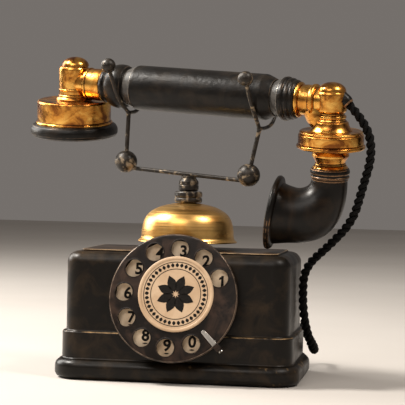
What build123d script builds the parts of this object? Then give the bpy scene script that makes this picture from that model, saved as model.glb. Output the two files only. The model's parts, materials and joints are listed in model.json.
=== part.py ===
from build123d import *
from math import cos, pi, radians, sin, tan
import os

# Antique-style desk telephone with a rotary dial, a wire cradle and a horn mouthpiece.
# Frame: +Z up, +X to the right seen from the front, the dial faces -Y,
# origin at the middle of the pad under the case. All sizes in millimetres.

# ---- case: three tiers, each a rounded block (half width, half depth, corner radius)
UPPER = (75.0, 45.5, 11.0)
MIDDLE = (77.6, 48.1, 12.5)
FLANGE = (82.3, 52.8, 16.0)
PAD_HEIGHT = 1.5
FLANGE_BOTTOM = 0.6
FLANGE_TOP = 13.5
MIDDLE_TOP = 32.0
SHELL_TOP = 84.8
CASE_WALL = 2.5
TOP_ROUND = 7.5
LID = (66.0, 36.5, 5.0)
LID_TOP = 86.1
BASE_PLATE_TOP = 3.5
BOSS_AT = (67.0, 38.0)
PAD_INSET = 6.0

# ---- bell and hook plunger, on the Z axis
ROD_RADIUS = 3.0
ROD_CLEARANCE = 0.05
SLEEVE_RADIUS = 5.4
SLEEVE_BOTTOM = 72.0
THREAD_RADIUS = 4.4
GONG_RIM = 91.0
GONG_SEAT = 116.6
GONG_THICKNESS = 1.3
NUT_BOTTOM = 118.0
NUT_TOP = 125.6
KNOB_TOP = 136.2
ROD_BOTTOM = 52.0
ROD_COLLAR_TOP = 58.0
SPRING_FOOT = 34.0

# ---- dial: local z points out of the dial face, local depth is negative
DIAL_CENTRE = (0.0, -53.9, 56.7)
DIAL_LEAN = 13.1
WHEEL_RADIUS = 42.5
WHEEL_THICKNESS = 1.4
HOLE_CIRCLE = 32.9
HOLE_RADIUS = 5.9
FIRST_HOLE = 24.9
HOLE_STEP = 30.0
HOLES = 10
PAN_RADIUS = 40.9
PAN_FRONT = -1.8
PAN_BACK = -8.0
PLATE_FRONT = -4.2
SHAFT_RADIUS = 2.5
SHAFT_CLEARANCE = 0.05
FRAME_BACK = -26.0
FRAME_RADIUS = 29.0
FRAME_OPENING = 30.0
CARD_OFFSET = (1.9, 2.4)
CARD_RADIUS = 22.8
CARD_RING_RADIUS = 25.0
STOP_ANGLE = -45.5

# ---- dial gears
GEAR_MODULE = 0.8
MAIN_TEETH = 40
PINION_TEETH = 10
MESH_GAP = 0.15
GOVERNOR_ANGLE = 150.0
GEAR_FRONT = -11.5
GEAR_BACK = -13.5

# ---- cradle frame: turned about Z, x runs along the bar
CRADLE_TURN = -16.5
WIRE_RADIUS = 1.45
LEFT_BALL = (-48.9, 0.0, 145.1)
RIGHT_BALL = (44.6, 0.0, 137.5)
BAR_DROP = 4.0
LOWER_BALL_RADIUS = 7.8
TIP_RADIUS = 5.1
LEFT_JUNCTION = (-47.6, 0.0, 179.0)
RIGHT_JUNCTION = (51.8, 0.0, 168.7)

# ---- handset frame: x runs along the grip
HANDSET_ALONG = 4.87
HANDSET_BEHIND = 4.0
HANDSET_HEIGHT = 193.6
HANDSET_TILT = 3.9
HANDSET_ROLL = 9.4
GRIP_RADIUS = 15.5
EAR_X = -99.3
MOUTH_X = 97.0
HORN_TWIST = 12.5
HORN_WALL = 2.2

# ---- handset cord
CORD_RADIUS = 3.15
CORD_RUN_SHARE = 0.45
GLAND_EXIT = (42.0, 53.0, 46.0)
HANDSET_GLAND_TURN = 43.0

Z_UP = Vector(0, 0, 1)
CRADLE = Rot(Z=CRADLE_TURN)
DIAL = Pos(*DIAL_CENTRE) * Rot(X=90.0 - DIAL_LEAN)
HANDSET = (
    CRADLE
    * Pos(HANDSET_ALONG, HANDSET_BEHIND, HANDSET_HEIGHT)
    * Rot(Y=HANDSET_TILT)
    * Rot(X=HANDSET_ROLL)
)
EAR = HANDSET * Pos(EAR_X, 0, 0)
MOUTH = HANDSET * Pos(MOUTH_X, 0, 0)
HORN = MOUTH * Rot(Z=HORN_TWIST)

os.makedirs("parts", exist_ok=True)


def save(name, shape, place=None):
    """Write one sub-part, moved from its own frame to the shared one."""
    if place is not None:
        shape = place * shape
    export_step(shape, "parts/" + name + ".step")


def block(tier, low, high, inset=0.0):
    """Upright block with rounded corners, between two heights."""
    half_x, half_y, corner = tier
    outline = RectangleRounded(2 * (half_x - inset), 2 * (half_y - inset), corner - inset)
    return Pos(0, 0, low) * extrude(outline, high - low)


def disc(radius, low, high, at=(0.0, 0.0)):
    """Upright cylinder between two heights."""
    return Pos(at[0], at[1], low) * extrude(Circle(radius), high - low)


def ring(outer, inner, low, high, at=(0.0, 0.0)):
    """Upright tube between two heights."""
    return disc(outer, low, high, at) - disc(inner, low - 1, high + 1, at)


def turned(outline):
    """Solid of revolution about Z from (radius, height) points."""
    edge = Polyline([(r, 0, z) for r, z in outline], close=True)
    return revolve(make_face(edge), axis=Axis.Z, revolution_arc=360)


def along_x(shape):
    """Lay a shape made about Z along X."""
    return Rot(Y=90) * shape


def wire(points, radius):
    """Round bar along a list of points with rounded bends."""
    path = FilletPolyline(*points, radius=3.5) if len(points) > 2 else Polyline(*points)
    profile = Plane(origin=path @ 0, z_dir=path % 0) * Circle(radius)
    return sweep(profile, path=path)


def box_between(low, high):
    """Axis-aligned box from its lowest and highest corners."""
    size = [b - a for a, b in zip(low, high)]
    centre = [(a + b) / 2 for a, b in zip(low, high)]
    return Pos(*centre) * Box(*size)


def corners(at):
    """The four mirrored places of a corner piece."""
    return [(sx * at[0], sy * at[1]) for sx in (-1, 1) for sy in (-1, 1)]


# ---------------------------------------------------------------- case

def dial_pocket():
    """Room in the case for the dial pan and the mechanism behind it."""
    pan = disc(PAN_RADIUS + 0.4, PAN_BACK - 0.2, 30.0)
    mechanism = disc(FRAME_OPENING, FRAME_BACK - 6.0, 0.0)
    return DIAL * (pan + mechanism)


def clapper_slot(low, high):
    """Slot in the case top that the clapper stem passes through."""
    return box_between((-4, 9, low), (4, 20, high))


def rear_hole(x, z, radius):
    """Hole through the rear wall."""
    return Pos(x, UPPER[1] + 6, z) * Rot(X=90) * extrude(Circle(radius), 14)


def case_shell():
    upper = block(UPPER, 20.0, SHELL_TOP)
    upper = fillet(upper.edges().group_by(Axis.Z)[-1], TOP_ROUND)
    middle = block(MIDDLE, 8.0, MIDDLE_TOP)
    middle = fillet(middle.edges().group_by(Axis.Z)[-1], 1.8)
    flange = block(FLANGE, FLANGE_BOTTOM, FLANGE_TOP)
    flange = fillet(flange.edges().group_by(Axis.Z)[-1], 5.5)
    flange = fillet(flange.edges().group_by(Axis.Z)[0], 4.0)
    shell = upper + middle + flange
    shell -= block(UPPER, -1.0, SHELL_TOP - CASE_WALL, CASE_WALL)
    shell -= block(MIDDLE, -1.0, MIDDLE_TOP - CASE_WALL, CASE_WALL)
    shell -= block(FLANGE, -1.0, FLANGE_TOP - 4.0, 4.0)
    for at in corners(BOSS_AT):
        shell += disc(4.5, BASE_PLATE_TOP, MIDDLE_TOP + 3, at) - disc(1.6, 0, 18, at)
    shell -= dial_pocket()
    shell -= disc(SLEEVE_RADIUS, SHELL_TOP - 6, SHELL_TOP + 2)
    shell -= clapper_slot(SHELL_TOP - 6, SHELL_TOP + 2)
    shell -= rear_hole(GLAND_EXIT[0], GLAND_EXIT[2], 4.0)
    shell -= rear_hole(-GLAND_EXIT[0], GLAND_EXIT[2], 4.0)
    return shell


def lid_plate():
    lid = block(LID, SHELL_TOP, LID_TOP)
    lid -= dial_pocket()
    lid -= disc(SLEEVE_RADIUS, SHELL_TOP - 1, LID_TOP + 1)
    lid -= clapper_slot(SHELL_TOP - 1, LID_TOP + 1)
    return lid


def base_plate():
    plate = block(FLANGE, PAD_HEIGHT, BASE_PLATE_TOP, 4.3)
    plate += disc(5.0, BASE_PLATE_TOP, SPRING_FOOT)
    for at in corners(BOSS_AT):
        plate -= disc(1.6, 0, 5, at)
    return plate


def base_pad():
    pad = block(FLANGE, 0, PAD_HEIGHT, PAD_INSET)
    for at in corners(BOSS_AT):
        pad -= disc(4.0, -1, PAD_HEIGHT + 1, at)
    return pad


def base_screws():
    screws = Part()
    for at in corners(BOSS_AT):
        head = disc(3.2, 0.4, PAD_HEIGHT, at)
        head -= box_between((at[0] - 4, at[1] - 0.4, 0.3), (at[0] + 4, at[1] + 0.4, 0.9))
        screws += head + disc(1.55, PAD_HEIGHT, 16, at)
    return screws


def rear_bush(bore):
    """Round bush in the rear wall, flange outside, made about the wall hole."""
    body = disc(3.9, -6.0, 0.0)
    collar = disc(6.2, 0.0, 3.0) + disc(4.9, 3.0, GLAND_EXIT[1] - UPPER[1])
    return body + collar - disc(bore, -7, 20)


def rear_place(x):
    return Pos(x, UPPER[1], GLAND_EXIT[2]) * Rot(X=-90)


save("case_shell", case_shell())
save("lid_plate", lid_plate())
save("base_plate", base_plate())
save("base_pad", base_pad())
save("base_screws", base_screws())
save("cord_gland", rear_bush(1.5), rear_place(GLAND_EXIT[0]))
save("line_inlet", rear_bush(2.6), rear_place(-GLAND_EXIT[0]))


# ---------------------------------------------------------------- bell and ringer

GONG_OUTSIDE = [
    (10.8, 117.0), (19.2, 114.8), (26.0, 111.0), (29.6, 106.2), (31.2, 100.0), (31.6, 95.0), (33.6, 91.9),
]


def bell_gong():
    top = GONG_SEAT + GONG_THICKNESS
    outer = Spline([(THREAD_RADIUS, 0, top)] + [(r, 0, z) for r, z in GONG_OUTSIDE])
    inner_points = [(r - GONG_THICKNESS, 0, z - GONG_THICKNESS * 0.6) for r, z in GONG_OUTSIDE]
    inner = Spline([(THREAD_RADIUS, 0, GONG_SEAT)] + inner_points)
    rim = Polyline(outer @ 1, (33.6, 0, GONG_RIM), (32.2, 0, GONG_RIM), inner @ 1)
    bore = Line(inner @ 0, outer @ 0)
    gong = revolve(make_face([outer, rim, inner, bore]), axis=Axis.Z, revolution_arc=360)
    return gong - guide_sleeve()


def guide_sleeve():
    outline = [
        (SLEEVE_RADIUS, SLEEVE_BOTTOM), (SLEEVE_RADIUS, LID_TOP), (9.0, LID_TOP), (9.0, 88.3),
        (SLEEVE_RADIUS, 88.9), (SLEEVE_RADIUS, 114.0), (6.4, 114.6), (6.4, GONG_SEAT),
        (THREAD_RADIUS, GONG_SEAT), (THREAD_RADIUS, 124.0),
        (ROD_RADIUS + ROD_CLEARANCE, 124.0), (ROD_RADIUS + ROD_CLEARANCE, SLEEVE_BOTTOM),
    ]
    return turned(outline)


def gong_nut():
    bore = ROD_RADIUS + ROD_CLEARANCE
    outline = [
        (THREAD_RADIUS, NUT_BOTTOM), (9.0, NUT_BOTTOM), (9.4, 118.8), (9.4, 124.8), (8.8, NUT_TOP),
        (bore, NUT_TOP), (bore, 124.0), (THREAD_RADIUS, 124.0),
    ]
    return turned(outline)


RINGER_PIVOT = (14.0, 33.0)
COIL_AT = [(-12.0, 26.0), (12.0, 26.0)]


def ringer_frame():
    frame = box_between((-24, 17, 60), (24, 35, 62))
    for x in (-21, 21):
        frame += disc(2.5, 62, SHELL_TOP - CASE_WALL, (x, 31))
    for at in COIL_AT:
        frame += disc(3.0, 35.5, 60, at)
    for x in (-11.6, 11.6):
        frame += box_between((x - 1, 10, 29), (x + 1, 18, 61))
    pin = Pos(-12, *RINGER_PIVOT) * along_x(extrude(Circle(1.5), 24))
    return frame + pin


def ringer_coils():
    coils = Part()
    for at in COIL_AT:
        bobbin = ring(8.2, 3.0, 37, 38, at) + ring(8.2, 3.0, 58, 59.5, at)
        coils += bobbin + ring(7.4, 3.0, 38, 58, at)
    return coils


def clapper():
    hub = Pos(-10, *RINGER_PIVOT) * along_x(extrude(Circle(3.2), 20))
    armature = box_between((-17, 19, 31.8), (17, 32, 33.6)) + box_between((-8, 14, 31.8), (8, 20, 33.6))
    stem = wire([(0, 14, 35.5), (0, 14, 88.5), (0, 23.0, 99.0)], 1.2)
    pin_hole = Pos(-18, *RINGER_PIVOT) * along_x(extrude(Circle(1.55), 36))
    return hub + armature + stem + Pos(0, 23.4, 99.5) * Sphere(3.4) - pin_hole


save("bell_gong", bell_gong())
save("guide_sleeve", guide_sleeve())
save("gong_nut", gong_nut())
save("ringer_frame", ringer_frame())
save("ringer_coils", ringer_coils())
save("clapper", clapper())


# ---------------------------------------------------------------- inside the case

def induction_coil():
    core = Pos(-52, -2, 15) * Rot(X=-90) * extrude(Circle(8.0), 34)
    cheeks = [box_between((-62, y, BASE_PLATE_TOP), (-42, y + 3, 25)) for y in (-5, 32)]
    return core + cheeks


def capacitor():
    can = box_between((38, 4, BASE_PLATE_TOP), (60, 22, 40))
    return fillet(can.edges().filter_by(Axis.Z), 3.0)


def terminal_block():
    body = box_between((30, -24, BASE_PLATE_TOP), (66, -6, 12))
    for step in range(4):
        for y in (-20, -10):
            body += disc(2.4, 12, 15, (35 + 8.7 * step, y))
    return body


HOOK_PIVOT = (-26.0, 60.0)
LEVER_LOW = 58.4


def hook_contacts():
    """Bracket with the lever's pivot pin and the hook-switch spring stack."""
    frame = Part()
    for y in (-6, 4):
        frame += box_between((-31, y, BASE_PLATE_TOP), (-21, y + 2, 64))
    frame += box_between((-31, -4, BASE_PLATE_TOP), (-21, 4, 12))
    frame += Pos(HOOK_PIVOT[0], 6, HOOK_PIVOT[1]) * Rot(X=90) * extrude(Circle(1.5), 12)
    frame += box_between((-38, -6, 30), (-31, 6, 48))
    for step in range(3):
        z = 33 + 5 * step
        frame += box_between((-31, -3, z), (-13, 3, z + 0.8))
    return frame


def hook_lever():
    bar = box_between((-30, -3, LEVER_LOW), (-3.4, 3, LEVER_LOW + 3.2))
    return bar - Pos(HOOK_PIVOT[0], 7, HOOK_PIVOT[1]) * Rot(X=90) * extrude(Circle(1.55), 14)


save("induction_coil", induction_coil())
save("capacitor", capacitor())
save("terminal_block", terminal_block())
save("hook_contacts", hook_contacts())
save("hook_lever", hook_lever())


# ---------------------------------------------------------------- dial, in the dial frame

def ray(radius, degrees):
    return (radius * cos(radians(degrees)), radius * sin(radians(degrees)))


PITCH_MAIN = GEAR_MODULE * MAIN_TEETH / 2
PITCH_PINION = GEAR_MODULE * PINION_TEETH / 2
GOVERNOR_AT = ray(PITCH_MAIN + PITCH_PINION + MESH_GAP, GOVERNOR_ANGLE)


def gear_outline(teeth, pitch_radius, phase):
    """Closed outline of a gear with straight-sided teeth and running clearance."""
    root = pitch_radius - 1.15 * GEAR_MODULE
    tip = pitch_radius + 0.8 * GEAR_MODULE
    pitch = 360.0 / teeth
    points = []
    for tooth in range(teeth):
        middle = phase + tooth * pitch
        points.append(ray(root, middle - 0.30 * pitch))
        points.append(ray(tip, middle - 0.10 * pitch))
        points.append(ray(tip, middle + 0.10 * pitch))
        points.append(ray(root, middle + 0.30 * pitch))
    return make_face(Polyline(points, close=True))


def gear(teeth, pitch_radius, phase, bore):
    blank = extrude(gear_outline(teeth, pitch_radius, phase), GEAR_FRONT - GEAR_BACK)
    return Pos(0, 0, GEAR_BACK) * blank - disc(bore, GEAR_BACK - 1, GEAR_FRONT + 1)


def finger_wheel():
    outline = [
        (0, -WHEEL_THICKNESS), (5, -WHEEL_THICKNESS), (40.9, -WHEEL_THICKNESS), (41.5, -3.0), (42.2, -3.2),
        (WHEEL_RADIUS, -2.6), (WHEEL_RADIUS, -0.9), (41.9, -0.2), (40.8, 0), (0, 0),
    ]
    wheel = turned(outline)
    for number in range(HOLES):
        at = ray(HOLE_CIRCLE, FIRST_HOLE + HOLE_STEP * number)
        wheel -= disc(HOLE_RADIUS, -4, 1, at)
    return wheel + disc(6.0, PLATE_FRONT + 0.4, -WHEEL_THICKNESS)


def dial_pan():
    outline = [
        (SHAFT_RADIUS + SHAFT_CLEARANCE, PAN_BACK), (PAN_RADIUS - 0.8, PAN_BACK), (PAN_RADIUS, PAN_BACK + 0.8),
        (PAN_RADIUS, PAN_FRONT), (PAN_RADIUS - 1.5, PAN_FRONT), (PAN_RADIUS - 1.5, PAN_BACK + 1.5),
        (22.0, PAN_BACK + 1.5), (22.0, PLATE_FRONT - 0.6), (19.0, PLATE_FRONT - 0.6), (19.0, PAN_BACK + 1.5),
        (SHAFT_RADIUS + SHAFT_CLEARANCE, PAN_BACK + 1.5),
    ]
    return turned(outline) - disc(1.25, PAN_BACK - 1, PAN_BACK + 0.8, GOVERNOR_AT)


def finger_stop():
    """Bent blade: foot on the case below the rim, then a finger over the wheel."""
    blade = box_between((29.3, -1.7, 0.6), (46.4, 1.7, 1.5))
    blade = fillet(blade.edges().filter_by(Axis.Z).group_by(Axis.X)[0], 1.5)
    foot = box_between((45.0, -2.3, -7.0), (46.4, 2.3, 1.5))
    tab = box_between((41.4, -2.3, -8.0), (46.4, 2.3, -7.0))
    return Rot(Z=STOP_ANGLE) * (blade + foot + tab) - finger_stop_screw()


def screw(at, top, length, head_radius=1.7):
    head = disc(head_radius, top - 1.0, top, at)
    head -= box_between((at[0] - 3, at[1] - 0.25, top - 0.4), (at[0] + 3, at[1] + 0.25, top + 1))
    return head + disc(head_radius * 0.5, top - length, top - 1.0, at)


def finger_stop_screw():
    return Rot(Z=STOP_ANGLE) * Pos(46.4, 0, -4.0) * along_x(screw((0, 0), 1.0, 2.2))


PILLAR_ANGLES = (40.0, 100.0, 270.0)


def dial_frame():
    plate = ring(FRAME_RADIUS, SHAFT_RADIUS + SHAFT_CLEARANCE, FRAME_BACK, FRAME_BACK + 2)
    plate -= disc(1.25, FRAME_BACK - 1, FRAME_BACK + 3, GOVERNOR_AT)
    for angle in PILLAR_ANGLES:
        plate += disc(2.2, FRAME_BACK + 2, PAN_BACK, ray(25.8, angle))
    return plate - dial_screws()


def dial_screws():
    screws = Part()
    for angle in PILLAR_ANGLES:
        x, y = ray(25.8, angle)
        screws += Pos(x, y, FRAME_BACK) * Rot(X=180) * screw((0, 0), 1.0, 2.8, 2.4)
    return screws


def governor_cup():
    return ring(8.4, 7.4, FRAME_BACK + 2, -17.0, GOVERNOR_AT)


def governor_arbor():
    phase = GOVERNOR_ANGLE + 180.0 + 180.0 / PINION_TEETH
    arbor = gear(PINION_TEETH, PITCH_PINION, phase, 0.1) + disc(1.2, FRAME_BACK + 0.2, PAN_BACK + 0.6)
    arbor += disc(3.4, -22.5, -17.5)
    for angle in (0, 180):
        arbor += Rot(Z=angle) * box_between((3.0, -1.6, -21.5), (6.6, 1.6, -18.5))
    return Pos(*GOVERNOR_AT, 0) * arbor


def dial_shaft():
    return disc(SHAFT_RADIUS, FRAME_BACK - 1.0, PLATE_FRONT + 0.4)


def main_gear():
    phase = GOVERNOR_ANGLE
    return gear(MAIN_TEETH, PITCH_MAIN, phase, SHAFT_RADIUS)


def pulse_cam():
    cam = ring(7.2, SHAFT_RADIUS, -18.0, -16.0)
    for step in range(HOLES):
        cam += disc(1.2, -18.0, -16.0, ray(7.2, 36.0 * step))
    return cam


def pulse_contacts():
    block_ = box_between((-6, -22, FRAME_BACK + 2), (8, -16, -15))
    for step in range(2):
        y = -15.2 + 4.0 * step
        block_ += box_between((-14, y - 0.8, -18), (8, y - 0.3, -16))
    return block_ + box_between((6, -16, -19), (8, -10.5, -15))


save("finger_wheel", finger_wheel(), DIAL)
save("dial_pan", dial_pan(), DIAL)
save("number_plate", ring(38.6, 7.0, PLATE_FRONT - 0.6, PLATE_FRONT), DIAL)
save("card_ring", ring(CARD_RING_RADIUS, CARD_RADIUS, 0, 1.5, CARD_OFFSET), DIAL)
save("centre_card", disc(CARD_RADIUS, 0, 0.8, CARD_OFFSET), DIAL)
save("finger_stop", finger_stop(), DIAL)
save("finger_stop_screw", finger_stop_screw(), DIAL)
save("dial_frame", dial_frame(), DIAL)
save("dial_screws", dial_screws(), DIAL)
save("dial_shaft", dial_shaft(), DIAL)
save("main_gear", main_gear(), DIAL)
save("pulse_cam", pulse_cam(), DIAL)
save("pulse_contacts", pulse_contacts(), DIAL)
save("governor_cup", governor_cup(), DIAL)
save("governor_arbor", governor_arbor(), DIAL)


# ---------------------------------------------------------------- cradle, in the cradle frame

def bar_end(ball):
    return (ball[0], ball[1], ball[2] - BAR_DROP)


def cradle_bar():
    ends = wire([bar_end(LEFT_BALL), bar_end(RIGHT_BALL)], WIRE_RADIUS)
    return ends - cradle_balls()


def cradle_balls():
    return Part() + [Pos(*at) * Sphere(LOWER_BALL_RADIUS) for at in (LEFT_BALL, RIGHT_BALL)]


def fork(ball, junction, front, rear):
    """Stem, two prongs around the grip and a ball on each prong's end."""
    body = Pos(*junction) * Sphere(WIRE_RADIUS * 1.25) + wire([ball, junction], WIRE_RADIUS)
    for prong in (front, rear):
        body += wire([junction] + prong, WIRE_RADIUS * 0.93)
        body += Pos(*prong[-1]) * Sphere(TIP_RADIUS)
    return body - Pos(*ball) * Rot(X=90) * Sphere(LOWER_BALL_RADIUS)


LEFT_FRONT = [(-48.7, -14.0, 189.3), (-51.4, -24.0, 210.3)]
LEFT_REAR = [(-47.8, 12.5, 181.4), (-48.5, 22.0, 190.5), (-49.0, 24.5, 200.0)]
RIGHT_FRONT = [(51.4, -14.0, 185.2), (50.3, -21.5, 201.0)]
RIGHT_REAR = [(52.0, 12.0, 170.0), (52.0, 21.0, 173.5), (52.0, 26.5, 181.0), (52.0, 27.0, 193.0)]


def plunger_rod():
    rod = disc(ROD_RADIUS, ROD_BOTTOM + 3.0, KNOB_TOP - 2.5)
    return rod + disc(5.0, ROD_BOTTOM, ROD_COLLAR_TOP)


def plunger_knob():
    outline = [
        (ROD_RADIUS, NUT_TOP + 0.2), (6.0, NUT_TOP + 0.2), (6.8, 126.8), (6.8, 132.4), (5.2, 134.4),
        (5.0, KNOB_TOP), (0, KNOB_TOP), (0, KNOB_TOP - 2.5), (ROD_RADIUS, KNOB_TOP - 2.5),
    ]
    slot = wire([bar_end(LEFT_BALL), bar_end(RIGHT_BALL)], WIRE_RADIUS)
    return turned(outline) - CRADLE * slot


def plunger_spring():
    height = ROD_BOTTOM - SPRING_FOOT
    path = Pos(0, 0, SPRING_FOOT + 0.5) * Helix(pitch=(height - 1.0) / 7, height=height - 1.0, radius=3.6)
    return sweep(Plane(origin=path @ 0, z_dir=path % 0) * Circle(0.45), path=path)


save("cradle_bar", cradle_bar(), CRADLE)
save("cradle_balls", cradle_balls(), CRADLE)
save("cradle_fork_left", fork(LEFT_BALL, LEFT_JUNCTION, LEFT_FRONT, LEFT_REAR), CRADLE)
save("cradle_fork_right", fork(RIGHT_BALL, RIGHT_JUNCTION, RIGHT_FRONT, RIGHT_REAR), CRADLE)
save("plunger_rod", plunger_rod())
save("plunger_knob", plunger_knob())
save("plunger_spring", plunger_spring())


# ---------------------------------------------------------------- handset, in the handset frame

GRIP_LEFT = -54.0
GRIP_RIGHT = 57.0
RING_LEFT = -74.0
RING_RIGHT = 76.0
WIRE_BORE = 5.0
EAR_BODY = 10.6
MOUTH_BODY = 10.0


def grip_tube():
    return along_x(turned([
        (12.5, GRIP_LEFT), (GRIP_RADIUS, -46.5), (GRIP_RADIUS, 50.0), (12.5, GRIP_RIGHT),
        (9.0, GRIP_RIGHT), (9.0, GRIP_LEFT),
    ]))


def grip_ring_left():
    return along_x(turned([
        (WIRE_BORE, GRIP_LEFT), (12.4, GRIP_LEFT), (14.6, -56.0), (15.4, -60.0), (14.8, -65.0), (12.6, -69.0),
        (11.4, -70.0), (12.2, -71.0), (12.2, -72.0), (11.0, RING_LEFT), (WIRE_BORE, RING_LEFT),
    ]))


def grip_ring_right():
    return along_x(turned([
        (WIRE_BORE, GRIP_RIGHT), (11.4, GRIP_RIGHT), (14.4, 63.6), (14.6, 65.4), (13.8, 67.6), (13.6, 69.0),
        (12.6, 71.4), (12.2, 72.8), (11.2, 74.5), (10.6, RING_RIGHT), (WIRE_BORE, RING_RIGHT),
    ]))


def barrel_left():
    barrel = along_x(turned([
        (WIRE_BORE, RING_LEFT), (11.0, RING_LEFT), (11.2, -78.0), (11.0, -84.0), (11.5, -85.0), (11.5, -86.6),
        (9.2, -87.4), (9.2, -94.0), (WIRE_BORE, -94.0),
    ]))
    return barrel - Pos(EAR_X, 0, 0) * (elbow_left() + disc(EAR_BODY, -20, 20))


def barrel_right():
    barrel = along_x(turned([
        (WIRE_BORE, RING_RIGHT), (10.2, RING_RIGHT), (10.4, 80.0), (10.2, 83.4), (11.2, 84.2), (11.2, 86.2),
        (9.0, 87.0), (9.0, 92.0), (WIRE_BORE, 92.0),
    ]))
    return barrel - Pos(MOUTH_X, 0, 0) * (elbow_right() + disc(MOUTH_BODY, -20, 20))


EAR_SEAM = 12.0
CAP_SHIFT = 1.2
MOUTH_SEAM = 7.0
CUP_TOP = -12.0
MOUTH_DISC_TOP = -18.7


def elbow_left():
    body = turned([
        (0, EAR_SEAM), (9.6, EAR_SEAM), (EAR_BODY, 9.5), (EAR_BODY, -9.6), (12.0, -10.4), (12.0, CUP_TOP),
        (WIRE_BORE, CUP_TOP), (WIRE_BORE, EAR_SEAM - 3), (0, EAR_SEAM - 3),
    ])
    return body - along_x(disc(WIRE_BORE, 2, 20))


def dome(radius, seam, rise):
    """Flattened half ball on a seam."""
    arc = [(radius * cos(radians(a)), seam + rise * sin(radians(a))) for a in range(0, 90, 9)]
    return turned(arc + [(0, seam + rise), (0, seam)])


def elbow_right():
    body = turned([
        (0, MOUTH_SEAM), (9.2, MOUTH_SEAM), (MOUTH_BODY, 4.5), (MOUTH_BODY, -5.6), (8.6, -7.2), (8.6, -8.2),
        (9.8, -9.0), (9.8, -10.4), (9.2, -11.0), (12.4, -14.4), (13.6, -16.6), (14.2, MOUTH_DISC_TOP),
        (WIRE_BORE, MOUTH_DISC_TOP), (WIRE_BORE, MOUTH_SEAM - 3), (0, MOUTH_SEAM - 3),
    ])
    web = wire([(-13.5, 0, -2.0), (-4.2, 0, -19.0)], 8.6) - disc(40, -40, MOUTH_DISC_TOP)
    web -= disc(WIRE_BORE, -30, 20)
    body += web
    return body - along_x(disc(WIRE_BORE, -20, -2)) - gland_axis() * disc(2.0, -8, 10)


def gland_axis():
    """Axis of the cord gland on the mouth-end elbow, its z along the cord."""
    return Pos(8.3, 0, 2.6) * Rot(Y=90 + HANDSET_GLAND_TURN)


def handset_gland():
    gland = turned([(2.0, -3), (3.9, -3), (4.4, 1.0), (3.9, 4.5), (3.4, 5.2), (2.0, 5.2)])
    return gland_axis() * gland - disc(MOUTH_BODY, -30, 30)


def receiver_cup():
    return turned([
        (WIRE_BORE, CUP_TOP), (25.0, CUP_TOP), (26.1, -13.0), (26.1, -27.0), (27.1, -27.4), (27.1, -28.6),
        (24.2, -28.6), (24.2, -14.0), (WIRE_BORE, -14.0),
    ])


def ear_cap():
    return turned([
        (27.2, -28.6), (30.2, -30.6), (31.0, -33.0), (30.8, -35.6), (28.6, -37.6), (24.0, -38.2),
        (6.0, -35.6), (3.0, -35.6), (3.0, -34.0), (24.2, -34.0), (24.2, -28.6),
    ])


def receiver_magnet():
    coils = [disc(3.5, -28.0, -22.0, (x, 0)) for x in (-6, 6)]
    return disc(15.0, -22.0, -15.0) + coils


def transmitter_top():
    return turned([
        (WIRE_BORE, MOUTH_DISC_TOP), (17.5, MOUTH_DISC_TOP), (20.6, -19.2), (21.2, -19.8), (20.9, -20.8),
        (WIRE_BORE, -20.8),
    ])


def transmitter_body():
    return turned([
        (18.5, -20.8), (20.6, -20.8), (21.6, -21.4), (21.9, -27.4), (21.4, -28.0), (22.9, -28.8), (22.9, -30.0),
        (22.2, -30.8), (8.0, -30.8), (8.0, -29.0), (18.5, -29.0),
    ])


def transmitter_capsule():
    return disc(16.0, -27.0, -22.0) + disc(6.0, -28.6, -27.0)


NECK_BOTTOM = -44.0


def transmitter_neck():
    return turned([
        (8.0, -30.8), (11.2, -30.8), (10.7, -32.4), (11.9, -34.6), (12.2, -36.2), (11.6, -37.8), (10.7, -40.4),
        (10.5, -42.0), (11.2, -43.2), (11.6, NECK_BOTTOM), (8.0, NECK_BOTTOM),
    ])


# centreline of the horn: x, z, outer radius, direction in degrees from straight down
HORN_SECTIONS = [
    (-0.2, -52.0, 12.0, 0.0), (-0.8, -57.0, 12.6, 8.0), (-2.9, -63.8, 14.4, 26.0), (-6.4, -70.2, 16.7, 44.0),
    (-11.6, -74.8, 18.2, 60.0), (-18.4, -77.0, 18.9, 74.0), (-27.7, -76.9, 19.5, 88.0), (-36.4, -76.4, 21.6, 98.0),
]
LIP_CENTRE = (-34.4, -76.7)
LIP_TURN = 98.0


def horn_section(x, z, radius, degrees):
    heading = (-sin(radians(degrees)), 0, -cos(radians(degrees)))
    return Plane(origin=(x, 0, z), z_dir=heading, x_dir=(0, 1, 0)) * Circle(radius)


def horn_loft(thinner, last_extra):
    sections = [horn_section(x, z, r - thinner, a) for x, z, r, a in HORN_SECTIONS]
    if last_extra:
        turn = radians(LIP_TURN)
        x = LIP_CENTRE[0] - sin(turn) * 6.0
        z = LIP_CENTRE[1] - cos(turn) * 6.0
        sections.append(horn_section(x, z, 22.4, LIP_TURN))
    return loft(sections)


def mouth_horn():
    collar = turned([
        (8.0, NECK_BOTTOM), (12.3, NECK_BOTTOM), (12.0, -45.6), (12.7, -47.0), (12.7, -49.0), (11.9, -50.2),
        (12.4, -51.2), (12.0, -52.0), (8.0, -52.0),
    ])
    lip = turned([(18.0, 0), (21.9, 0), (24.6, 1.2), (25.3, 2.6), (24.8, 4.2), (22.8, 5.0), (18.0, 5.0)])
    lip_place = Pos(LIP_CENTRE[0], 0, LIP_CENTRE[1]) * Rot(Y=180 + LIP_TURN)
    bore = horn_loft(HORN_WALL, True)
    return collar + ((horn_loft(0.0, False) + lip_place * lip) - bore)


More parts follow.
